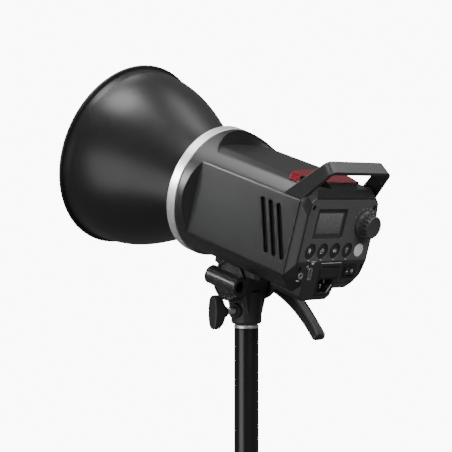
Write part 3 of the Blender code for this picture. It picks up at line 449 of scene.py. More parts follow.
def panel_stock():
    """The panel's matte grey above and the darker, smoother field below the keys."""
    s = Shader("panel_stock", "panel_plastic")
    fine = s.noise(0.3, 3.0, 0.6)
    patches = s.noise(11.0, 4.0)
    below = s.ramp(s.part("Z"), -0.0190, -0.0192)
    base = s.mix(s.ramp(patches, 0.3, 0.7), grey(0.068), grey(0.076))
    base = s.mix(s.ramp(fine, 0.35, 0.7, 0.0, 0.2), base, grey(0.095))
    base = s.mix(below, base, grey(0.022))
    # Edges painted lighter: partly rubbed wear, partly a painted highlight where edges catch the light
    rubbed_and_glinting = s.maths("MULTIPLY", s.edges(0.3), s.ramp(patches, 0.4, 0.65, 0.1, 0.5))
    colour = s.mix(rubbed_and_glinting, base, grey(0.12))
    gloss = s.maths("ADD", s.ramp(fine, 0.3, 0.7, 0.48, 0.58), s.maths("MULTIPLY", below, -0.12))
    return s.set(Base_Color=colour, Roughness=gloss, Normal=s.bump(fine, 0.012))


def display_glass():
    """Smoked window: a lighter screen inside a dark printed border, the screen painted lighter towards its
    top as a painted highlight.
    """
    s = Shader("display_glass", "dark_glass")
    x, z = s.part("X"), s.part("Z")
    across = s.maths("ABSOLUTE", s.maths("SUBTRACT", x, DISPLAY_X * MM))
    up = s.maths("ABSOLUTE", s.maths("SUBTRACT", z, (DISPLAY_U + 0.15) * MM))
    inside = s.maths("MULTIPLY", s.ramp(across, 0.0158, 0.0160, 1.0, 0.0),
                     s.ramp(up, 0.0090, 0.0092, 1.0, 0.0))
    # Painted highlight: the screen's colour runs from darker at its foot to lighter at its top
    lit = s.mix(s.ramp(z, 0.006, 0.024), grey(0.085), grey(0.155))
    smear = s.noise(7.0, 3.0)
    return s.set(Base_Color=s.mix(inside, grey(0.035), lit), Roughness=s.ramp(smear, 0.35, 0.7, 0.24, 0.3))


def red_band():
    """Deep red translucent plastic with faint flow marks and a soft gloss."""
    s = Shader("red_band", "red_window")
    flow = s.noise(8.0, 2.0)
    colour = s.mix(s.ramp(flow, 0.3, 0.7), (0.11, 0.002, 0.006, 1), (0.16, 0.004, 0.010, 1))
    return s.set(Base_Color=colour, Roughness=s.ramp(flow, 0.3, 0.7, 0.2, 0.28), Normal=s.bump(flow, 0.004))


def silver_bowl():
    """The reflector's inside: bright hammered aluminium."""
    s = Shader("silver_bowl", "powder_coat")
    cells = s.node("ShaderNodeTexVoronoi", {"Vector": s.coords, "Scale": 260.0}, feature="SMOOTH_F1")
    smudge = s.noise(20.0, 4.0)
    return s.set(Base_Color=grey(0.82), Metallic=1.0, Roughness=s.ramp(smudge, 0.3, 0.7, 0.2, 0.3),
                 Normal=s.bump(cells.outputs["Distance"], 0.35))


def plain_detail(name, slot, colour, rough, metallic=0.0, size=2.0, depth=0.01, spread=0.12):
    """Small fittings: their colour broken by a slight mottle and uneven gloss."""
    s = Shader(name, slot)
    mottle = s.noise(size, 4.0)
    darker = tuple(c * 0.82 for c in colour[:3]) + (1.0,)
    return s.set(Base_Color=s.mix(s.ramp(mottle, 0.3, 0.7), colour, darker), Metallic=metallic,
                 Roughness=s.ramp(mottle, 0.3, 0.7, rough, rough + spread), Normal=s.bump(mottle, depth))


BLACK = moulded("black_shell", "black_plastic", 0.014, 0.36)
FRAME_BLACK = moulded("black_frame", "black_plastic", 0.015, 0.40)
GRIP_BLACK = moulded("black_grip", "black_plastic", 0.018, 0.38, grain=0.3)
LEVER_BLACK = moulded("black_lever", "black_plastic", 0.012, 0.32, grain=0.5, depth=0.004)
DIAL_BLACK = moulded("dial_black", "gloss_plastic", 0.045, 0.34, grain=0.4, depth=0.004, rub_and_glint=0.5)
GLOSS = moulded("gloss_black", "gloss_plastic", 0.010, 0.26, grain=0.8, depth=0.002)
KEY_BLACK = moulded("key_black", "gloss_plastic", 0.018, 0.38, grain=0.4, depth=0.004)
CAST = moulded("cast_black", "cast_metal", 0.045, 0.40, grain=0.5, depth=0.012, rub_and_glint=0.3, fillet=1.0)
TUBE_BLACK = moulded("tube_black", "cast_metal", 0.030, 0.30, grain=1.0, depth=0.002, fillet=0.9)
POLE_BLACK = moulded("pole_black", "cast_metal", 0.008, 0.24, grain=1.0, depth=0.001)
POWDER = moulded("powder_coat", "powder_coat", 0.014, 0.36, grain=0.5, depth=0.008, rub_and_glint=0.3)
# Near-black matte stock for the painted shade behind the vent slots
VENT_SHADE = moulded("vent_shade_sheet", "black_plastic", 0.003, 0.9, grain=0.6, depth=0.03, rub_and_glint=0.0)
SILVER = turned_metal("satin_ring", "satin_aluminium", 0.90, 0.36)
STEEL = turned_metal("plated_steel", "steel", 0.62, 0.24, line=0.1)
PANEL = panel_stock()
GLASS = display_glass()
RED = red_band()
BOWL = silver_bowl()
WHITE = plain_detail("white_cap", "white_plastic", (0.82, 0.82, 0.84, 1), 0.32, spread=0.08)
PRINT = plain_detail("white_print", "white_plastic", (0.75, 0.75, 0.76, 1), 0.5)
CERAMIC = plain_detail("ceramic", "ceramic", (0.78, 0.76, 0.70, 1), 0.55, size=1.2, depth=0.02)
BRASS = plain_detail("contact_metal", "brass", (0.80, 0.76, 0.66, 1), 0.22, metallic=1.0)
BOARD = plain_detail("board", "circuit_board", (0.02, 0.12, 0.05, 1), 0.4)
SLEEVE = plain_detail("sleeve", "capacitor_sleeve", (0.02, 0.03, 0.12, 1), 0.3)
FIBRE = plain_detail("fibre", "fibre_washer", (0.030, 0.026, 0.022, 1), 0.75, size=0.6, depth=0.03)
TUBE_GLASS = clear_part("tube_glass", "clear_glass", (0.95, 0.96, 0.97, 1), 0.05, 0.92)
LENS = clear_part("lamp_lens", "white_plastic", (0.92, 0.92, 0.9, 1), 0.35, 0.35)


# ---- casing

def body_radius(angle):
    """Distance from the axis to the body's section of cylinder and flats, corners a little rounded."""
    soft = 0.3
    reaches = [BODY_R] + [d / math.cos(angle - a) for a, d in BODY_FLATS if math.cos(angle - a) > 0.1]
    low = min(reaches)
    return low - soft * math.log(sum(math.exp((low - r) / soft) for r in reaches))


def ring_angles():
    """Angles round the body's section, close together beside its creases."""
    step = 2.5
    right = [SIDE_ANGLE, STRIP_ANGLE, math.degrees(math.atan2(TOP_U, BEVEL_X)), -SIDE_ANGLE, -KEEL_ANGLE]
    creases = right + [180 - a for a in right]
    near = (0, 0.3, 0.7, 1.2, 1.9, 2.8)
    found = {round(step * i, 3) for i in range(int(360 / step))}
    found |= {round((c + s * d) % 360, 3) for c in creases for d in near for s in (1, -1)}
    return [math.radians(a) for a in sorted(found)]


def wall_start(angle, radius):
    """Where the wall from the round collar down to a flat stands, at a distance from the axis."""
    across, up = radius * abs(math.cos(angle)), radius * math.sin(angle)
    if SIDE_X * abs(math.sin(angle)) < TOP_U * abs(math.cos(angle)):
        return SIDE_START - max(across - SIDE_X, 0) * SIDE_SLOPE
    if up > 0:
        return DECK_START + DECK_ARC - math.sqrt(DECK_ARC ** 2 - across ** 2)
    return KEEL_START - max(-up - TOP_U, 0) * KEEL_SLOPE


def body_prism(grow, front, rear):
    """The body's section, grown, as a solid from front to rear."""
    rings = []
    for a in (front, rear):
        ring = [(body_radius(angle) + grow, angle) for angle in ring_angles()]
        rings.append([(r * math.cos(angle), a, r * math.sin(angle)) for r, angle in ring])
    return skin(rings)


def notch_plan(side, grow=0.0):
    """Plan of the notch beside the red window, where a leg of the handle rises."""
    front, end, far = NOTCH_FRONT - 1.7 * grow, SHELL_REAR + 12.0, 60.0
    run = (SHELL_REAR - NOTCH_FRONT) / (BEVEL_X - WINDOW_REAR_X)
    outline = [(BEVEL_X, front), (far, front + (far - BEVEL_X) * 0.66), (far, end),
               (BEVEL_X - (end - front) / run, end)]
    return [(side * x, a) for x, a in outline]


def slab(outline, low, high):
    """A plan outline of (X, A) points made solid between two heights."""
    return plate(outline, high - low, 0.0, place=WORLD, at=(0, 0, (low + high) / 2))


def notches():
    """Cutters for the two notches at the deck's rear corners."""
    return [slab(notch_plan(side), NOTCH_U, NOTCH_U + 30.0) for side in (1, -1)]


def casing():
    """The shell, a round collar that steps down to vented and notched flats, and near-black sheets behind
    the vents that paint the shade inside the slots.
    """
    rows = []
    for angle in ring_angles():
        flat = body_radius(angle)
        top, base = wall_start(angle, BODY_R), wall_start(angle, flat)
        outer = [(SHELL_FRONT, BODY_R - 0.6), (SHELL_FRONT + 0.6, BODY_R), (top, BODY_R), (base, flat),
                 (SHELL_REAR - 0.5, flat), (SHELL_REAR, flat - 0.5)]
        run = divided(eased(outer, [0, 0.4, 0.7, 1.1, 0.3, 0], closed=False, count=5), 19, 14)
        inner = [(SHELL_REAR, flat - WALL), (base + 2, flat - WALL), (top, BODY_R - WALL),
                 (SHELL_FRONT + 3, BODY_R - WALL), (SHELL_FRONT + 3, 41.4), (SHELL_FRONT, 41.4)]
        rows.append([(r * math.cos(angle), a, r * math.sin(angle)) for a, r in run + inner])
    pads = []
    for side in (1, -1):
        pad = slab(notch_plan(side, WALL), NOTCH_U - WALL, TOP_U - 1.5)
        pads.append(carve(pad, [body_prism(-1.0, 40.0, SHELL_REAR)], "INTERSECT"))
    shell = carve(skin(rows, along=True), pads, "UNION")
    shell = carve(shell, notches() + [vent(side, i) for side in (1, -1) for i in range(3)])
    piece("casing", shell, "head", BLACK, "main_shell", sharp=28.0)
    for side, name in ((1, "left"), (-1, "right")):
        # Painted shade: a near-black sheet behind each side's vents stands in for the shadow inside the
        # slots
        screen = plate(rounded(40.0, 64.0, 4.0), 0.6, 0.1, place=ON_SIDE, at=(side * 47.6, 58.5, 0.0))
        piece(f"dust_screen_{name}", screen, "head", VENT_SHADE)


def vent(side, index):
    """A cutter for one slanted slot, flared at the surface so that the slot's lip is chamfered."""
    lean = Matrix.Rotation(math.radians(21.0), 2)
    slot = [tuple(lean @ Vector(p)) for p in rounded(5.0, 48.5, 2.2)]
    rows = []
    for depth, grow in ((-6.0, 0.0), (-0.6, 0.0), (-0.1, 0.35), (0.4, 0.85)):
        shape = grown(slot, grow) if grow else slot
        rows.append([(side * (SIDE_X + depth), 49.2 + index * 9.3 + a, 1.1 + u) for a, u in shape])
    return skin(rows)


def body_line():
    """The body's section as corners, in step with panel_line."""
    right = [(BEVEL_X, TOP_U)] + arc(0, 0, BODY_R, STRIP_ANGLE, SIDE_ANGLE, 3)
    right += arc(0, 0, BODY_R, -SIDE_ANGLE, -KEEL_ANGLE, 4)
    return right + [(-x, u) for x, u in reversed(right)]


def panel_line():
    """The frame's rear edge round the panel."""
    right = [(40.5, 37.6), (43.2, 35.0), (45.5, 32.5), (47.4, 21.0), (47.4, -20.0), (43.5, -32.0),
             (40.0, -35.5), (34.5, -40.2)]
    return right + [(-x, u) for x, u in reversed(right)]


def rear_frame():
    """The tapered frame round the panel, a hair's gap behind the shell, with the chin under the inlet."""
    start, seat_a = SHELL_REAR + GAP, PANEL_A - PANEL_THICK - GAP
    soft = [0.5, 0.8, 3.0, 0.8, 0.8, 3.0, 3.0, 0.8]
    soft = soft + soft[::-1]

    def ring_at(a, share, inset):
        ends = zip(body_line(), panel_line())
        mixed = [tuple(Vector(near).lerp(Vector(far), share)) for near, far in ends]
        return [(x, a, u) for x, u in eased(grown(mixed, -inset), soft, count=4)]

    rings = [ring_at(start, 0, 0.5), ring_at(start + 0.12, 0, 0.2), ring_at(start + 0.4, 0, 0.05)]
    for i in range(1, 8):
        rings.append(ring_at(start + (PANEL_A - start) * i / 8, i / 8, 0))
    rings += [ring_at(a, share, inset) for a, share, inset in (
        (PANEL_A - 0.45, 0.95, 0.05), (PANEL_A - 0.12, 0.99, 0.25), (PANEL_A, 1, 0.5),
        (PANEL_A, 1, 1.15), (seat_a, 1, 1.15), (seat_a, 1, 3.6), (start, 1, 3.6))]
    length, lip_depth = seat_a - CHIN_FRONT, PANEL_THICK + GAP + 0.8
    outline = eased(CHIN_OUTLINE, CHIN_SOFT)
    chin = plate(outline, length, 0.8, at=(0, CHIN_FRONT + length / 2, 0))
    lip = plate(outline, lip_depth, 0.35, [grown(outline, -1.15)], at=(0, PANEL_A - lip_depth / 2, 0))
    opening = plate(grown(INLET_OUTLINE, GAP), 60.0, 0.0, at=(0, CHIN_FRONT + 33.0, 0))
    seat = plate(grown(PANEL_OUTLINE, -1.1), 20.0, 0.0, at=(0, seat_a + 10.0, 0))
    room = box((76, 40, 74), (0, PANEL_A, 0))
    shell = casting([skin(rings, along=True), chin, lip], [opening, seat, room] + notches())
    piece("rear_frame", shell, "head", FRAME_BLACK, "rear_housing", sharp=28.0)


def band():
    """The red window across the deck: a bowed front edge, ends over the sloping strips, a narrower rear."""
    end_x, proud, bow_r, bow_front = 41.9, 1.2, 64.0, 42.0
    xs = [end_x * math.sin(math.radians(a)) for a in range(-90, 91, 3)]
    xs += [side * x for side in (1, -1) for x in (BEVEL_X - 0.3, BEVEL_X, BEVEL_X + 0.3, 19.0, 19.4)]
    rows = []
    for x in sorted(set(xs)):
        across = abs(x)
        front = bow_front + bow_r - math.sqrt(bow_r ** 2 - across ** 2)
        if across > BEVEL_X:
            rear = NOTCH_FRONT - 0.6 + (across - BEVEL_X) * 6.0 / (end_x - BEVEL_X)
            deck = (BEVEL_REACH - across * math.cos(BEVEL_NORMAL)) / math.sin(BEVEL_NORMAL)
        else:
            rear = min(SHELL_REAR - 0.3, NOTCH_FRONT - 0.6 + (BEVEL_X - across) * 19.8 / 13.8)
            deck = TOP_U
        sunk = 0.35 if across > end_x - 0.01 else 0.0
        outline = [(front + sunk, deck + GAP), (front + sunk, deck + proud - sunk),
                   (rear - sunk, deck + proud - sunk), (rear - sunk, deck + GAP)]
        run = divided(eased(outline, [0, 0.4, 0.4, 0], closed=False), 6, 10)
        rows.append([(x, a, u) for a, u in run])
    piece("red_window_band", skin(rows), "head", RED, "sensor_window")


def handle():
    """A flat strap bent into a loop that leans rearwards, its feet flush with the shell's sides."""
    foot, foot_rear = Vector((SIDE_X, 62.9, 35.2)), Vector((SIDE_X, 82.5, 33.9))
    bend, bend_rear = Vector((38.3, 90.35, 70.36)), Vector((41.25, 101.2, 62.5))
    middle, middle_rear = Vector((0, *bend[1:])), Vector((0, *bend_rear[1:]))
    buried = Vector((-3.0, -2.5, -5.0))
    corner, steps, thick = 6.0, 10, 3.8
    edges = []
    for low, turn, over in ((foot, bend, middle), (foot_rear, bend_rear, middle_rear)):
        start, end = turn + (low - turn).normalized() * corner, turn + (over - turn).normalized() * corner
        line = [low + buried] + [low.lerp(start, i / steps) for i in range(steps)]
        line += [curved(start, turn, end, i / steps) for i in range(steps + 1)]
        line += [end.lerp(over, i / steps) for i in range(1, steps)]
        edges.append(line + [Vector((-p.x, p.y, p.z)) for p in reversed(line)])
    rows = []
    for i, (front, rear) in enumerate(zip(*edges)):
        before, after = max(i - 1, 0), min(i + 1, len(edges[0]) - 1)
        along = (edges[0][after] + edges[1][after] - edges[0][before] - edges[1][before]).normalized()
        across = (rear - front).normalized()
        inward = along.cross(across).normalized()
        centre = (front + rear) / 2 + inward * thick / 2
        section = rounded((rear - front).length - 0.4, thick, 0.9, count=5)
        rows.append([tuple(centre + across * w + inward * d) for w, d in section])
    strap = carve(skin(rows), [body_prism(GAP, 20.0, 110.0)])
    piece("carry_strap", strap, "head", GRIP_BLACK, "carry_handle")


def latch():
    """The reflector's release slider on the far side, ribbed, with the pin that it draws back."""
    front, deep, tall, long = SIDE_START + GAP, 5.4, 15.0, 6.6
    middle = -SIDE_X - GAP - deep / 2
    body = box((deep, long, tall), (middle, front + long / 2, 0), 0.9)
    face = middle - deep / 2
    grooves = [box((1.6, 0.8, 12.0), (face, front + 1.6 + 1.7 * i, 0), 0.3, 1) for i in range(3)]
    pin = rod(1.2, front - 17.4, front + 1.0, (-52.9, 0, 0), edge=0.3)
    piece("release_slider", carve(carve(body, grooves), [pin], "UNION"), "latch", GLOSS, "release_latch")


# ---- front

def ring():
    front, rear, bore = RING_FRONT, SHELL_FRONT - GAP, 54.4
    profile = eased([(bore, front), (RING_R, front), (RING_R, rear), (bore, rear)], [0.3, 0.9, 0.9, 0.3])
    piece("silver_ring", lathe(profile, 192), "head", SILVER, "mount_ring")


def bowl_radius(share):
    """The bowl's radius from its neck, at a share of 0, to its mouth, at 1."""
    neck, mouth = 46.0, 85.4
    return neck + (mouth - neck) * math.sin(share * math.pi / 2) ** 1.3


def bowl():
    """The spun bowl, black outside and silver inside, with a rolled bead at its mouth."""
    base, lip, sheet, count = -65.1, -171.5, 1.3, 40
    wall = [(bowl_radius(i / count), base + (lip - base) * i / count) for i in range(count + 1)]
    neck = [(86.3, lip - 3.5), (86.4, RIM_A + 3.6)]
    bead = [(86.6, RIM_A + 2.9), (RIM_R, RIM_A + 2.9), (RIM_R, RIM_A), (86.6, RIM_A)]
    bead = eased(bead, [0, 1.3, 1.3, 0], closed=False, count=6)
    inner = [(r - sheet, a) for r, a in (wall + neck)[::-1]]
    floor = [(inner[-1][0], base - sheet), (42.4, base - sheet), (42.4, base)]
    mesh = lathe(wall + neck + bead + inner[:-1] + floor, 224)
    piece("bowl", mesh, "reflector_unit", POWDER, "reflector")
    mesh.materials.append(BOWL)
    for face in mesh.polygons:
        radius = math.hypot(face.center.x, face.center.z) / MM
        at = face.center.y / MM
        share = (at - base) / (lip - base)
        middle = bowl_radius(min(max(share, 0), 1)) + (0.9 if share > 1 else 0.0) - sheet / 2
        if radius < middle and at > RIM_A + 0.6:
            face.material_index = 1


def collar():
    """The reflector's collar, with the three bayonet tabs that lock behind the ring."""
    face, front, rear = RING_FRONT - GAP, -64.8, -52.2
    profile = eased([(42.0, front), (56.6, front), (56.6, face), (44.5, face), (44.5, rear), (42.0, rear)],
                    [0.2, 0.7, 0.5, 0.4, 0.3, 0.3])
    body = lathe(profile, 160)
    tabs = []
    for i in range(3):
        low, high = 78 + 120 * i, 102 + 120 * i
        sector = arc(0, 0, 49.0, low, high, 13) + arc(0, 0, 43.6, high, low, 13)
        tabs.append(plate(sector, 2.6, 0.35, at=(0, -53.9, 0)))
    piece("reflector_collar", carve(body, tabs, "UNION"), "reflector_unit", SILVER, "reflector_flange")


def lamp():
    """The flash tube's glass ring with its trigger band, the modelling lamp and the base they plug into."""
    ring_a, ring_r = -76.0, 30.4
    gap_angle = math.asin(9.0 / ring_r)
    turns = [-math.pi / 2 + gap_angle + (TURN - 2 * gap_angle) * i / 72 for i in range(73)]
    loop = [(ring_r * math.cos(t), ring_a, ring_r * math.sin(t)) for t in turns]
    legs = [(9.0, -56.0 - 2.0 * i, -29.0) for i in range(9)]
    path = [Vector(p) for p in legs + loop + [(-x, a, u) for x, a, u in legs[::-1]]]
    rows = []
    for i, here in enumerate(path):
        along = (path[min(i + 1, len(path) - 1)] - path[max(i - 1, 0)]).normalized()
        out = Vector((here.x, 0, here.z)).normalized()
        out = (out - along * out.dot(along)).normalized()
        across = along.cross(out)
        rows.append([here + out * n + across * w for n, w in circle(4.0, count=24)])
    piece("tube_ring", skin(rows), "head", TUBE_GLASS, "flash_tube")
    slopes = [math.radians(a) for a in range(85, -1, -5)]
    dome = [(0.0, -78.4)] + [(12.5 * math.cos(t), -66.4 - 12.0 * math.sin(t)) for t in slopes]
    rim = eased([(12.5, -65.9), (15.0, -65.9), (15.0, -60.4)], [0.2, 0.5, 0], closed=False)
    piece("lamp_dome", lathe(dome + rim + [(0.0, -60.4)], 64), "head", LENS, "modelling_lamp")
    plinth = eased([(0, -60.0), (20.0, -60.0), (22.0, -58.4), (36.0, -58.4), (38.0, -60.0), (41.0, -60.0),
                    (41.0, -44.0), (0, -44.0)], [0, 0.4, 0.6, 0.6, 0.4, 0.8, 0.5, 0])
    sockets = [rod(4.4, -66.0, -55.0, (x, 0, -29.0)) for x in (-9.0, 9.0)]
    piece("lamp_base", carve(lathe(plinth, 96), sockets), "head", CERAMIC, "tube_base")


# ---- controls

def panel():
    """The control plate with its openings, and the four screws in their wells."""
    holes = [rounded(39.8, 26.3, 1.6, DISPLAY_X, DISPLAY_U), rounded(18.6, 12.7, 0.8, SWITCH_X, SWITCH_U),
             eased(grown(INLET_OUTLINE, GAP), 0.6), circle(3.2, JACK_X, JACK_U, 32),
             rounded(5.1, 11.1, 0.5, USB_X, USB_U), circle(3.7, DIAL_X, DIAL_U, 32)]
    holes += [circle(6.9, x, BUTTON_U) for x in BUTTON_XS] + [circle(6.5, TEST_X, BUTTON_U)]
    outline = eased(grown(PANEL_OUTLINE, -1.25), [1.2] * 5 + [0.5, 1.5, 2.5, 2.5, 2.0, 0.5] + [1.2] * 6)
    sheet = plate(outline, PANEL_THICK, 0.35, holes, at=(0, PANEL_A - PANEL_THICK / 2, 0))
    well = [(0, PANEL_A - 1.6), (2.3, PANEL_A - 1.6), (2.6, PANEL_A + 1), (0, PANEL_A + 1)]
    wells = [lathe(well, 32, at=(x, 0, u)) for x, u in SCREWS]
    piece("panel_face", carve(sheet, wells), "head", PANEL, "control_panel")
    head_a = PANEL_A - 0.5
    profile = eased([(0, 0), (1.7, 0), (2.15, -0.5), (2.1, -1.0), (1.4, -1.1), (1.4, -8.0), (0, -8.0)],
                    [0, 0.3, 0.3, 0, 0, 0.3, 0])
    for number, (x, u) in enumerate(SCREWS, 1):
        cross = [box(size, (x, head_a, u)) for size in ((2.4, 1.0, 0.55), (0.55, 1.0, 2.4))]
        screw = carve(lathe(profile, 32, at=(x, head_a, u)), cross)
        piece(f"screw_{number}", screw, "head", GLOSS, f"panel_screw_{number}")


def printed(outline, lift=PRINT_LIFT):
    """A shape printed on a rearward face, standing out by its lift."""
    return plate(outline, 2 * lift, 0.02)


def stroke(points, width, lift=PRINT_LIFT):
    """A printed line through points."""
    left, right = [], []
    for i, here in enumerate(points):
        before, after = Vector(points[max(i - 1, 0)]), Vector(points[min(i + 1, len(points) - 1)])
        along = (after - before).normalized()
        side = Vector((-along.y, along.x)) * width / 2
        left.append(tuple(Vector(here) + side))
        right.append(tuple(Vector(here) - side))
    return printed(left + right[::-1], lift)


def dot(x, u, radius):
    return printed(circle(radius, x, u, 20))


def icon(kind):
    """The parts of one key's white pictogram, round its middle: flash bolt, cell ring, speaker or lamp."""
    if kind == "flash":
        bolt = [(-0.3, 2.7), (1.3, 2.7), (0.5, 0.7), (1.4, 0.7), (-0.7, -2.7), (-0.1, -0.2), (-1.2, -0.2)]
        return [printed(bolt)] + [stroke([(1.9, u), (1.9, u - 1.4)], 0.4) for u in (0.0, 2.4)]
    if kind == "cell":
        halves = [stroke(arc(0, 0, 2.0, 60 + turn, 200 + turn, 12), 0.45) for turn in (0, 180)]
        return halves + [dot(0, 0, 0.6), dot(1.6, -2.2, 0.35)]
    if kind == "speaker":
        horn = [(1.6, -0.7), (0.9, -0.7), (-0.3, -1.8), (-0.3, 1.8), (0.9, 0.7), (1.6, 0.7)]
        return [printed(horn)] + [stroke(arc(-0.3, 0, r, 140, 220, 8), 0.35) for r in (1.4, 2.3)]
    bulb = stroke(arc(0, 0.7, 1.5, -60, 240, 16), 0.4)
    return [bulb] + [stroke([(-0.7, u), (0.7, u)], 0.4) for u in (-1.3, -2.1)]


def keys():
    """Four dark caps with their pictograms, and the domed white test key."""
    face = PANEL_A - 0.7
    cap = eased([(0, face - 0.15), (5.0, face - 0.1), (6.0, face), (6.5, face - 0.5), (6.5, KEY_BASE_A),
                 (0, KEY_BASE_A)], [0, 0.5, 0.4, 0.4, 0.3, 0])
    kinds = {"power": "flash", "mode": "cell", "beep": "speaker", "lamp": "lamp"}
    for x, (key, kind) in zip(BUTTON_XS, kinds.items()):
        body = f"{key}_key"
        piece(f"{body}_cap", lathe(cap, 64, at=(x, 0, BUTTON_U)), body, KEY_BLACK, f"{key}_button")
        piece(f"{body}_mark", moved(merged(icon(kind)), (x, face - 0.1, BUTTON_U)), body, PRINT)
    face = PANEL_A + 0.4
    slopes = [math.radians(a) for a in range(15, 91, 15)]
    dome = [(0, face)] + [(6.1 * math.sin(t), face - 0.7 * (1 - math.cos(t))) for t in slopes]
    cap = dome + [(6.1, KEY_BASE_A), (0, KEY_BASE_A)]
    piece("test_key_cap", lathe(cap, 64, at=(TEST_X, 0, BUTTON_U)), "test_key", WHITE, "test_button")


def marks():
    """Everything printed on the panel: the dial's ring of dots, ticks under the keys, and field lines."""
    made = []
    for i in range(11):
        t = math.radians(196 - 21.2 * i)
        made.append(dot(DIAL_X + 14.3 * math.cos(t), DIAL_U + 14.3 * math.sin(t), 0.55 - 0.035 * i))
    lines = [(0.5, (x - 1.4, BUTTON_U - 8.2), (x + 1.2, BUTTON_U - 7.4)) for x in BUTTON_XS]
    lines += [(0.5, (14.7, -21.0), (-13.0, -21.0)), (0.45, (29.0, -19.2), (22.5, -19.2)),
              (1.3, (27.6, -20.8), (24.6, -20.8)), (0.5, (33.8, -24.0), (32.0, -22.4), (31.2, -24.4)),
              (0.4, (31.5, -25.6), (27.6, -25.0)), (0.7, (43.5, -35.5), (39.6, -36.1))]
    made += [stroke(points, width) for width, *points in lines]
    piece("panel_print", moved(merged(made), (0, PANEL_A, 0)), "head", PRINT)


def display():
    """A sunk bezel with sloping sides and the smoked window in it."""
    bezel = []
    steps = ((39.6, 26.1, 1.9, 1.4), (39.6, 26.1, 0.15, 1.4), (39.0, 25.5, 0.05, 1.2),
             (36.9, 22.0, 1.05, 0.9), (36.9, 22.0, 1.9, 0.9))
    for width, height, depth, radius in steps:
        middle = DISPLAY_U - (26.1 - height) * 0.12
        bezel.append([(x, PANEL_A - depth, u) for x, u in rounded(width, height, radius, DISPLAY_X, middle)])
    piece("display_bezel", skin(bezel, along=True), "head", KEY_BLACK)
    window = plate(rounded(37.4, 22.6, 1.0, DISPLAY_X, DISPLAY_U - 0.4), 0.9, 0.2, at=(0, PANEL_A - 1.55, 0))
    piece("display_glass", window, "head", GLASS, "display_window")


def dial():
    """The skirted knob: fluted grip, dished end."""
    flutes = 16

    def fluted(r, a, t):
        share = min(max((a - 3.4) / 1.5, 0.0), 1.0) * min(max((11.9 - a) / 0.8, 0.0), 1.0)
        if r < 8.8:
            share = 0.0
        return r - 0.75 * share * max(0.0, math.cos(flutes * t)) ** 0.7

    outline = [(3.3, 0.6), (12.0, 0.6), (12.0, 1.3), (11.0, 3.0), (10.3, 3.2), (10.2, 11.4), (9.4, 12.2),
               (8.4, 12.2), (7.6, 11.7), (0, 11.4), (0, 10.0), (3.3, 10.0)]
    run = eased(outline, [0.2, 0.3, 0.4, 0.6, 0.6, 0.5, 0.3, 0.3, 1.5, 0, 0, 0], count=3)
    tall = next(i for i, p in enumerate(run) if p[1] > 7.0)
    knob = lathe(divided(run, tall, 10), 16 * flutes, fluted, at=(DIAL_X, PANEL_A, DIAL_U))
    piece("dial_knob", knob, "dial", DIAL_BLACK, "select_dial", sharp=40.0)


def inlet():
    """The mains inlet: its moulded frame, ribbed fuse drawer and three contact blades."""
    face, depth = PANEL_A + 0.6, 23.0
    body = plate(eased(INLET_OUTLINE, 0.9), depth, 0.45, at=(0, face - depth / 2, 0))
    socket = [(-5.4, -36.2), (13.0, -36.2), (13.0, -45.0), (10.6, -47.6), (-0.6, -47.6), (-5.4, -40.6)]
    mouth = [[(x, face + d, u) for x, u in grown(eased(socket, 0.8), g)]
             for d, g in ((-17.0, 0.0), (-0.7, 0.0), (0.1, 0.7))]
    pocket = box((24.2, 19.0, 9.6), (DRAWER_X, face - 9.45, DRAWER_U))
    blade_cuts = []
    blades = (("line", 9.2, -39.6, 5.0), ("neutral", -1.6, -39.6, 5.0), ("earth", 3.8, -43.6, 3.6))
    for name, x, u, tip in blades:
        blade_cuts.append(box((2.6, 12.0, 4.6), (x, PANEL_A - 18.0, u)))
        blade = box((2.0, 17.0, 4.0), (x, PANEL_A - tip - 8.5, u), 0.6, 3)
        piece(f"blade_{name}", blade, "head", BRASS, f"inlet_pin_{name}")
    piece("inlet_body", carve(body, [skin(mouth), pocket] + blade_cuts), "head", GLOSS, "mains_inlet")
    drawer = box((23.6, 19.0, 9.0), (DRAWER_X, PANEL_A - 8.7, DRAWER_U), 0.5)
    ribs = [box((18.0, 0.7, 0.9), (DRAWER_X, PANEL_A + 0.85, u), 0.3, 2) for u in (-26.6, -28.6)]
    grip = box((12.0, 1.2, 2.2), (DRAWER_X, PANEL_A + 0.9, -33.2), 0.4, 2)
    fuse_bay = box((21.4, 6.2, 6.4), (DRAWER_X, PANEL_A - 13.4, -27.6))
    front = carve(carve(drawer, ribs, "UNION"), [grip, fuse_bay])
    piece("drawer_front", front, "fuse_tray", KEY_BLACK, "fuse_drawer")


def rocker():
    """The mains switch: its frame, the dished key in its shaft, and the key's ring and bar."""
    x, u = SWITCH_X, SWITCH_U
    body = box((18.0, 14.6, 12.1), (x, PANEL_A - 6.7, u), 0.5)
    shaft = box((15.4, 20.0, 9.5), (x, PANEL_A + 1.0, u), 0.3, 2)
    piece("switch_body", carve(body, [shaft]), "head", GLOSS, "switch_frame")
    top = [(-7.2 + 14.4 * i / 24, 4.0 - 2.6 * math.sin(math.pi * i / 24)) for i in range(25)]
    side = eased([(-7.2, 0.6)] + top + [(7.2, 0.6), (5.0, -3.2), (-5.0, -3.2)],
                 [0.3, 0.4] + [0] * 23 + [0.4, 0.3, 1, 1])
    lean = Matrix.Translation(Vector((x, PANEL_A - 2.6, u)) * MM) @ Matrix.Rotation(math.radians(5), 4, "Z")
    piece("switch_key", plate(side, 8.8, 0.4, place=lean), "mains_rocker", KEY_BLACK, "rocker")
    signs = (stroke(arc(0, 0, 1.3, 0, 350, 20), 0.5, 0.12), stroke([(-1.5, -0.2), (1.5, -0.2)], 0.55, 0.12))
    placed = []
    for sign, across in zip(signs, (-4.2, 4.2)):
        spot = lean @ (Vector((across, 1.75 + 2.25 * abs(across / 6.5) ** 1.7, 0)) * MM) / MM
        placed.append(moved(sign, (spot.x, spot.y + 0.05, u)))
    piece("switch_marks", merged(placed), "mains_rocker", PRINT)


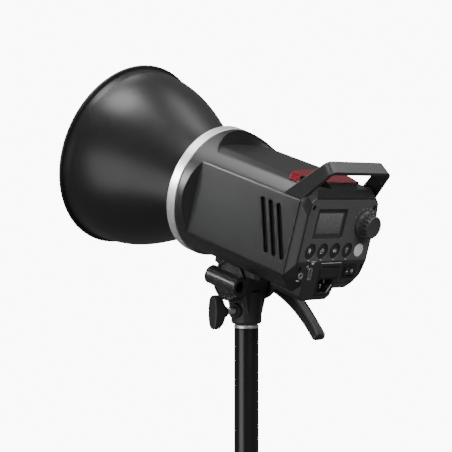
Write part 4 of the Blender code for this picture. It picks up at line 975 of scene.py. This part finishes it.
def ports():
    """The sync jack's barrel and the plug-in receiver's port."""
    barrel = eased([(1.8, PANEL_A + 0.2), (2.9, PANEL_A + 0.2), (2.9, PANEL_A - 12.8), (0, PANEL_A - 12.8),
                    (0, PANEL_A - 9.0), (1.8, PANEL_A - 9.0)], [0.25, 0.3, 0.2, 0, 0, 0])
    piece("jack_barrel", lathe(barrel, 48, at=(JACK_X, 0, JACK_U)), "head", STEEL, "sync_jack")
    shell = box((4.5, 12.0, 10.5), (USB_X, PANEL_A - 6.0, USB_U), 0.25, 2)
    bore = box((3.1, 20.0, 9.1), (USB_X, PANEL_A - 0.5, USB_U))
    tongue = box((1.0, 9.5, 7.6), (USB_X + 0.7, PANEL_A - 6.5, USB_U), 0.15, 1)
    piece("usb_shell", carve(carve(shell, [bore]), [tongue], "UNION"), "head", STEEL, "usb_port")


# ---- bracket

def arm_width(z):
    """Half the stand arm's width across Y at a height."""
    if z < 24.0:
        return 11.2 + 0.8 * (z - 5.0) / 19.0
    if z < 34.4:
        return 12.0 + 1.14 * (z - 24.0) / 10.4
    return math.sqrt(max(14.5 ** 2 - (z - PIVOT_Z) ** 2, 0.04))


def bracket():
    """The stand socket and the arm that rises from it to the tilt bolt, as one casting."""
    socket = lathe(eased([(0, 0), (12.6, 0), (13.9, 1.6), (14.8, 30.6), (0, 31.0)], [0, 0.8, 1.2, 2.5, 0]),
                   place=TO_Z)
    rows = []
    for i in range(61):
        z = 5.0 + (PIVOT_Z + 14.4 - 5.0) * math.sin(math.pi / 2 * i / 60)
        wide = min(8.6 + 6.4 * (z - 5.0) / 22.0, 15.0)
        half = arm_width(z)
        rows.append([(x, y, z) for x, y in rounded(2 * wide, 2 * half, min(1.8, half * 0.6))])
    arm = skin(rows)
    boss = rod(7.0, 9.3, 17.3, (0, 0, LOCK_Z), TO_X, 0.6)
    holes = [rod(8.2, -20.0, 28.0, place=TO_Z), rod(BOLT_HOLE_R, -30, 30, (0, 0, PIVOT_Z), TO_X),
             rod(3.2, 5.0, 30.0, (0, 0, LOCK_Z), TO_X)]
    piece("bracket_casting", casting([socket, arm, boss], holes), "stand", CAST, "stand_bracket", WORLD)
    for name, x in (("left", -16.1), ("right", 16.1)):
        disc = washer(13.0, x - 0.8, x + 0.8, (0, 0, PIVOT_Z))
        piece(f"washer_{name}", disc, "stand", FIBRE, f"friction_washer_{name}", WORLD)


def washer(radius, start, end, at=(0, 0, 0)):
    """A flat ring on the bolt, from start to end across X."""
    profile = eased([(4.4, start), (radius, start), (radius, end), (4.4, end)], 0.25)
    return lathe(profile, 64, place=TO_X, at=at)


def yoke():
    """The block under the shell and the two ears that straddle the stand's arm."""
    plan = [(22.0, -14.0)] + arc(0, -14.0, 22.0, -5, -175, 24)
    plan += [(-22.0, -14.0), (-22.0, 26.0), (-16.0, 32.0), (16.0, 32.0), (22.0, 26.0)]
    ear = [(19.0, 12.0)] + arc(0, 0, 19.0, 0, -180, 48) + [(-19.0, 12.0)]
    parts = [plate(plan, 9.4, 0.0, place=WORLD, at=(0, 0, -53.05))]
    parts += [plate(ear, 4.8, 0.5, place=ON_SIDE, at=(x, 0, BOLT_U)) for x in (19.6, -19.6)]
    slot = box((34.4, 90.0, 60.0), (0, 0, -82.0))
    bores = [rod(radius, start, end, (0, 0, BOLT_U), TO_X)
             for radius, start, end in ((BOLT_HOLE_R, -30, 30), (7.8, 18.2, 23.0))]
    piece("yoke_casting", casting(parts, [slot] + bores), "head", CAST, "yoke")


def umbrella():
    """The disc on the outer ear, its raised rim, and the umbrella tube blended across it."""
    inner = 22.3
    profile = [(0, 0), (18.6, 0), (18.6, 2.6), (16.9, 2.6), (16.3, 1.5), (0, 1.5)]
    disc = lathe(eased(profile, [0, 0.5, 0.5, 0.4, 0.6, 0]), place=TO_X, at=(inner, 0, 0))
    barrel = rod(8.75, -19.0, 19.0, (TUBE_X, 0, 0), edge=0.7, steps=64)
    web = plate(rounded(26.0, 15.0, 3.0), 5.0, 0.6, place=ON_SIDE, at=(inner + 2.5, 0, 0))
    dimples = [rod(1.1, inner + 1.0, inner + 3.0, (0, a, u), TO_X) for a, u in ((2.0, 13.2), (-1.0, -13.4))]
    bore = rod(4.9, -25, 25, (TUBE_X, 0, 0))
    chamfers = [rod(4.9, side * 18.2, side * 19.2, (TUBE_X, 0, 0), end_radius=5.8) for side in (1, -1)]
    block = box((20.0, 60.0, 60.0), (inner - 10.0, 0, 0))
    mesh = casting([disc, barrel, web], [block, bore] + chamfers + dimples)
    piece("umbrella_holder", mesh, "head", TUBE_BLACK, "umbrella_tube", PIVOT)


def bolt():
    """The tilt bolt with its hexagon head sunk in the outer ear, and the washer under the lever."""
    shank = rod(4.0, -34.0, 20.0, place=TO_X, edge=0.4)
    hexagon = plate(circle(7.4, count=6), 3.2, 0.4, place=ON_SIDE, at=(20.2, 0, 0))
    piece("tilt_bolt_steel", carve(shank, [hexagon], "UNION"), "head", STEEL, "tilt_bolt", PIVOT)
    piece("lever_washer_steel", washer(9.0, -23.9, -22.3), "head", STEEL, "lever_washer", PIVOT)


def lever():
    """The clamp lever: a round hub and a long curved grip with a bead along its rear edge."""
    inner, outer = -24.6, -38.0
    middle = (inner + outer) / 2
    start, bend, tip = Vector((0, 0)), Vector((31.0, -12.0)), Vector((59.0, -50.0))
    rows = []
    count = 40
    for i in range(count + 7):
        t = min(i / count, 1.0)
        place = curved(start, bend, tip, t)
        heading = ((bend - start) * (1 - t) + (tip - bend) * t).normalized()
        w, h = (inner - outer) / 2, 4.3 + 5.2 * (1 - t) ** 1.6
        if i > count:
            angle = math.radians(15.0 * (i - count))
            place = place + heading * h * 0.96 * math.sin(angle)
            h *= math.cos(angle) + 0.02
            w *= 0.35 + 0.65 * math.cos(angle) ** 0.5
        across = Vector((-heading.y, heading.x))
        near = [(w - 2.4, -h), (w, -h * 0.55), (w, h * 0.42), (w - 0.7, h * 0.62), (w - 1.1, h * 0.95),
                (w - 2.6, h), (w - 3.4, h * 0.86)]
        section = eased(near + [(-x, n) for x, n in reversed(near)], 0.55, count=3)
        rows.append([(middle + x, place.x + across.x * n, place.y + across.y * n) for x, n in section])
    hub = rod(10.5, inner + 0.3, outer - 0.3, place=TO_X, edge=1.4, steps=72)
    hole = rod(BOLT_HOLE_R, inner + 2.0, inner - 10.5, place=TO_X)
    cap = rod(6.0, outer - 0.6, outer + 1.0, place=TO_X, edge=0.3)
    mesh = moved(casting([skin(rows), hub], [hole, cap]), (0, 0, PIVOT_Z))
    piece("lever_grip", mesh, "lever", LEVER_BLACK, "tilt_lever", WORLD)


def lock():
    """The T-knob's oval tablet on its neck, and the plated screw that runs into the socket."""
    stations = ((29.2, 5.0, 5.0), (32.0, 5.1, 6.0), (32.8, 5.3, 8.6), (34.5, 5.5, 12.6), (37.5, 5.5, 15.2),
                (40.5, 5.5, 15.5), (43.8, 5.4, 15.3), (44.9, 5.0, 14.9), (45.4, 4.1, 14.0))
    full = [tuple(math.copysign(abs(c) ** 0.8, c) for c in point) for point in circle(1.0, count=64)]
    rows = [[(x, thick * y, tall * z) for y, z in full] for x, thick, tall in stations]
    knob = moved(carve(skin(rows), [rod(3.2, 20.0, 32.0, place=TO_X)]), (0, 0, LOCK_Z))
    piece("lock_tablet", knob, "lock", GRIP_BLACK, "lock_knob", WORLD)
    pitch, start, end = 1.0, 9.0, 30.6
    profile = [(0, 8.6), (2.1, 8.6), (2.5, 8.9)]
    for i in range(int((end - start) / pitch)):
        root = start + pitch * i
        profile += [(2.5, root + 0.15), (2.88, root + 0.5), (2.5, root + 0.85)]
    screw = lathe(profile + [(2.5, end), (0, end)], 40, place=TO_X, at=(0, 0, LOCK_Z))
    piece("lock_thread", screw, "lock", STEEL, "lock_screw", WORLD)


def inner_parts():
    """The hidden nodes keep their CAD shapes and get proper finishes."""
    finishes = ((CAST, "bayonet_plate"), (SILVER, "led_heatsink", "chassis_plate"), (BRASS, "trigger_coil"),
                (GLASS, "display_module", "optical_sensor"), (BOARD, "control_board", "power_board"),
                (STEEL, "dial_shaft", "encoder"), (TUBE_GLASS, "fuse"),
                (SLEEVE, "capacitor_left", "capacitor_right"),
                (FRAME_BLACK, "capacitor_clamp", "fan_frame", "fan_rotor"))
    for finish, *nodes in finishes:
        for slot in [slot for node in nodes for slot in frame["nodes"][node].material_slots]:
            slot.material = finish


# ---- studio

def glowing(name, colour, emission):
    """A plain surface with some light of its own, for the studio only."""
    made = bpy.data.materials.new(name)
    made.use_nodes = True
    surface = made.node_tree.nodes["Principled BSDF"]
    surface.inputs["Base Color"].default_value = (*colour, 1)
    surface.inputs["Roughness"].default_value = 0.6
    surface.inputs["Emission Color"].default_value = (1, 1, 1, 1)
    surface.inputs["Emission Strength"].default_value = emission
    return made


def staged(name, mesh, finish):
    """A thing of the studio, which is no part of the strobe."""
    made = bpy.data.objects.new(name, mesh)
    bpy.context.scene.collection.objects.link(made)
    mesh.materials.clear()
    mesh.materials.append(finish)
    mesh.shade_smooth()
    mesh.set_sharp_from_angle(angle=math.radians(35))
    return made


def stand_pole():
    """The top of a light stand, staged so that the picture shows what holds the strobe."""
    pole = eased([(0, -4.0), (11.2, -4.0), (11.2, -POLE_LENGTH), (0, -POLE_LENGTH)], [0, 0.4, 0, 0])
    cap = eased([(0, -0.5), (10.4, -0.5), (11.3, -1.4), (11.3, -3.9), (0, -3.9)], [0, 0.4, 0.5, 0.3, 0])
    staged("stand_pole", lathe(pole, place=TO_Z), POLE_BLACK)
    staged("stand_cap", lathe(cap, place=TO_Z), SILVER)
    staged("stand_stud", rod(7.9, -0.6, 26.0, place=TO_Z, edge=1.0), STEEL)


def area_light(name, at, target, size, power, spread=180.0):
    light = bpy.data.lights.new(name, "AREA")
    light.shape = "RECTANGLE"
    light.size = light.size_y = size
    light.energy = power
    light.spread = math.radians(spread)
    holder = bpy.data.objects.new(name, light)
    bpy.context.scene.collection.objects.link(holder)
    holder.location = at
    holder.rotation_euler = (Vector(target) - Vector(at)).to_track_quat("-Z", "Y").to_euler()
    holder.visible_camera = False
    return holder


def studio():
    """A white surround, a pale floor at the stand's foot, and soft boxes round the strobe."""
    dome_shape = bmesh.new()
    bmesh.ops.create_uvsphere(dome_shape, u_segments=48, v_segments=24, radius=9.0)
    dome = staged("backdrop", finished(dome_shape), glowing("backdrop_white", (0.0, 0.0, 0.0), 10.0))
    dome.visible_diffuse = dome.visible_glossy = dome.visible_transmission = dome.visible_shadow = False
    floor_shape = bmesh.new()
    bmesh.ops.create_circle(floor_shape, cap_ends=True, segments=96, radius=2.4)
    floor = staged("floor", moved(finished(floor_shape), (0, 0, -POLE_LENGTH)),
                   glowing("floor_pale", (0.8, 0.8, 0.8), 1.6))
    floor.visible_glossy = floor.visible_diffuse = False
    world = bpy.data.worlds.new("studio")
    world.use_nodes = True
    sky = world.node_tree.nodes["Background"]
    sky.inputs["Color"].default_value = (1, 1, 1, 1)
    sky.inputs["Strength"].default_value = 0.14
    bpy.context.scene.world = world
    # Each soft box: degrees round from the camera's side, degrees up, distance, size, power
    boxes = {"front_right": (33, 25, 1.2, 0.6, 9.0), "top": (290, 70, 1.3, 0.6, 12.0),
             "rear_left": (222, 38, 1.1, 0.8, 8.0), "right_high": (95, 55, 1.1, 0.8, 7.0),
             "low_left": (310, -12, 1.1, 0.8, 5.0)}
    for name, (turn, rise, reach, size, power) in boxes.items():
        area_light(name, round_the_strobe(turn, rise, reach), (0, 0, LIGHTS_Z), size, power)


def round_the_strobe(turn, rise, reach):
    """A place at a distance from the strobe, by degrees round from the camera's side and degrees up."""
    across, up = math.radians(LIGHTS_TURN + turn), math.radians(rise)
    level = reach * math.cos(up)
    return (level * math.cos(across), level * math.sin(across), LIGHTS_Z + reach * math.sin(up))


def side_grid(lit):
    """A gridded soft box that grazes only the named pieces, as if flagged off the bowl."""
    light = area_light("side_grid", round_the_strobe(273, 24, 0.62), (0.05, -0.02, 0.165), 0.2, 0.13, 20.0)
    receivers = bpy.data.collections.new("side_grid_lights")
    for name in lit:
        receivers.objects.link(bpy.data.objects[name])
    light.light_linking.receiver_collection = receivers


def camera():
    level = math.cos(CAMERA_RISE)
    back = Vector((math.sin(CAMERA_TURN) * level, -math.cos(CAMERA_TURN) * level, math.sin(CAMERA_RISE)))
    data = bpy.data.cameras.new("view")
    data.lens = LENS_MM
    data.sensor_width = 36.0
    data.clip_end = 50.0
    holder = bpy.data.objects.new("view", data)
    bpy.context.scene.collection.objects.link(holder)
    holder.location = CAMERA_AT
    holder.rotation_euler = back.to_track_quat("Z", "Y").to_euler()
    bpy.context.scene.camera = holder


camera()
studio()
stand_pole()
casing()
rear_frame()
band()
handle()
latch()
ring()
bowl()
collar()
lamp()
panel()
keys()
marks()
display()
dial()
inlet()
rocker()
ports()
bracket()
yoke()
umbrella()
bolt()
lever()
lock()
inner_parts()
side_grid(("casing", "silver_ring", "red_window_band", "umbrella_holder"))
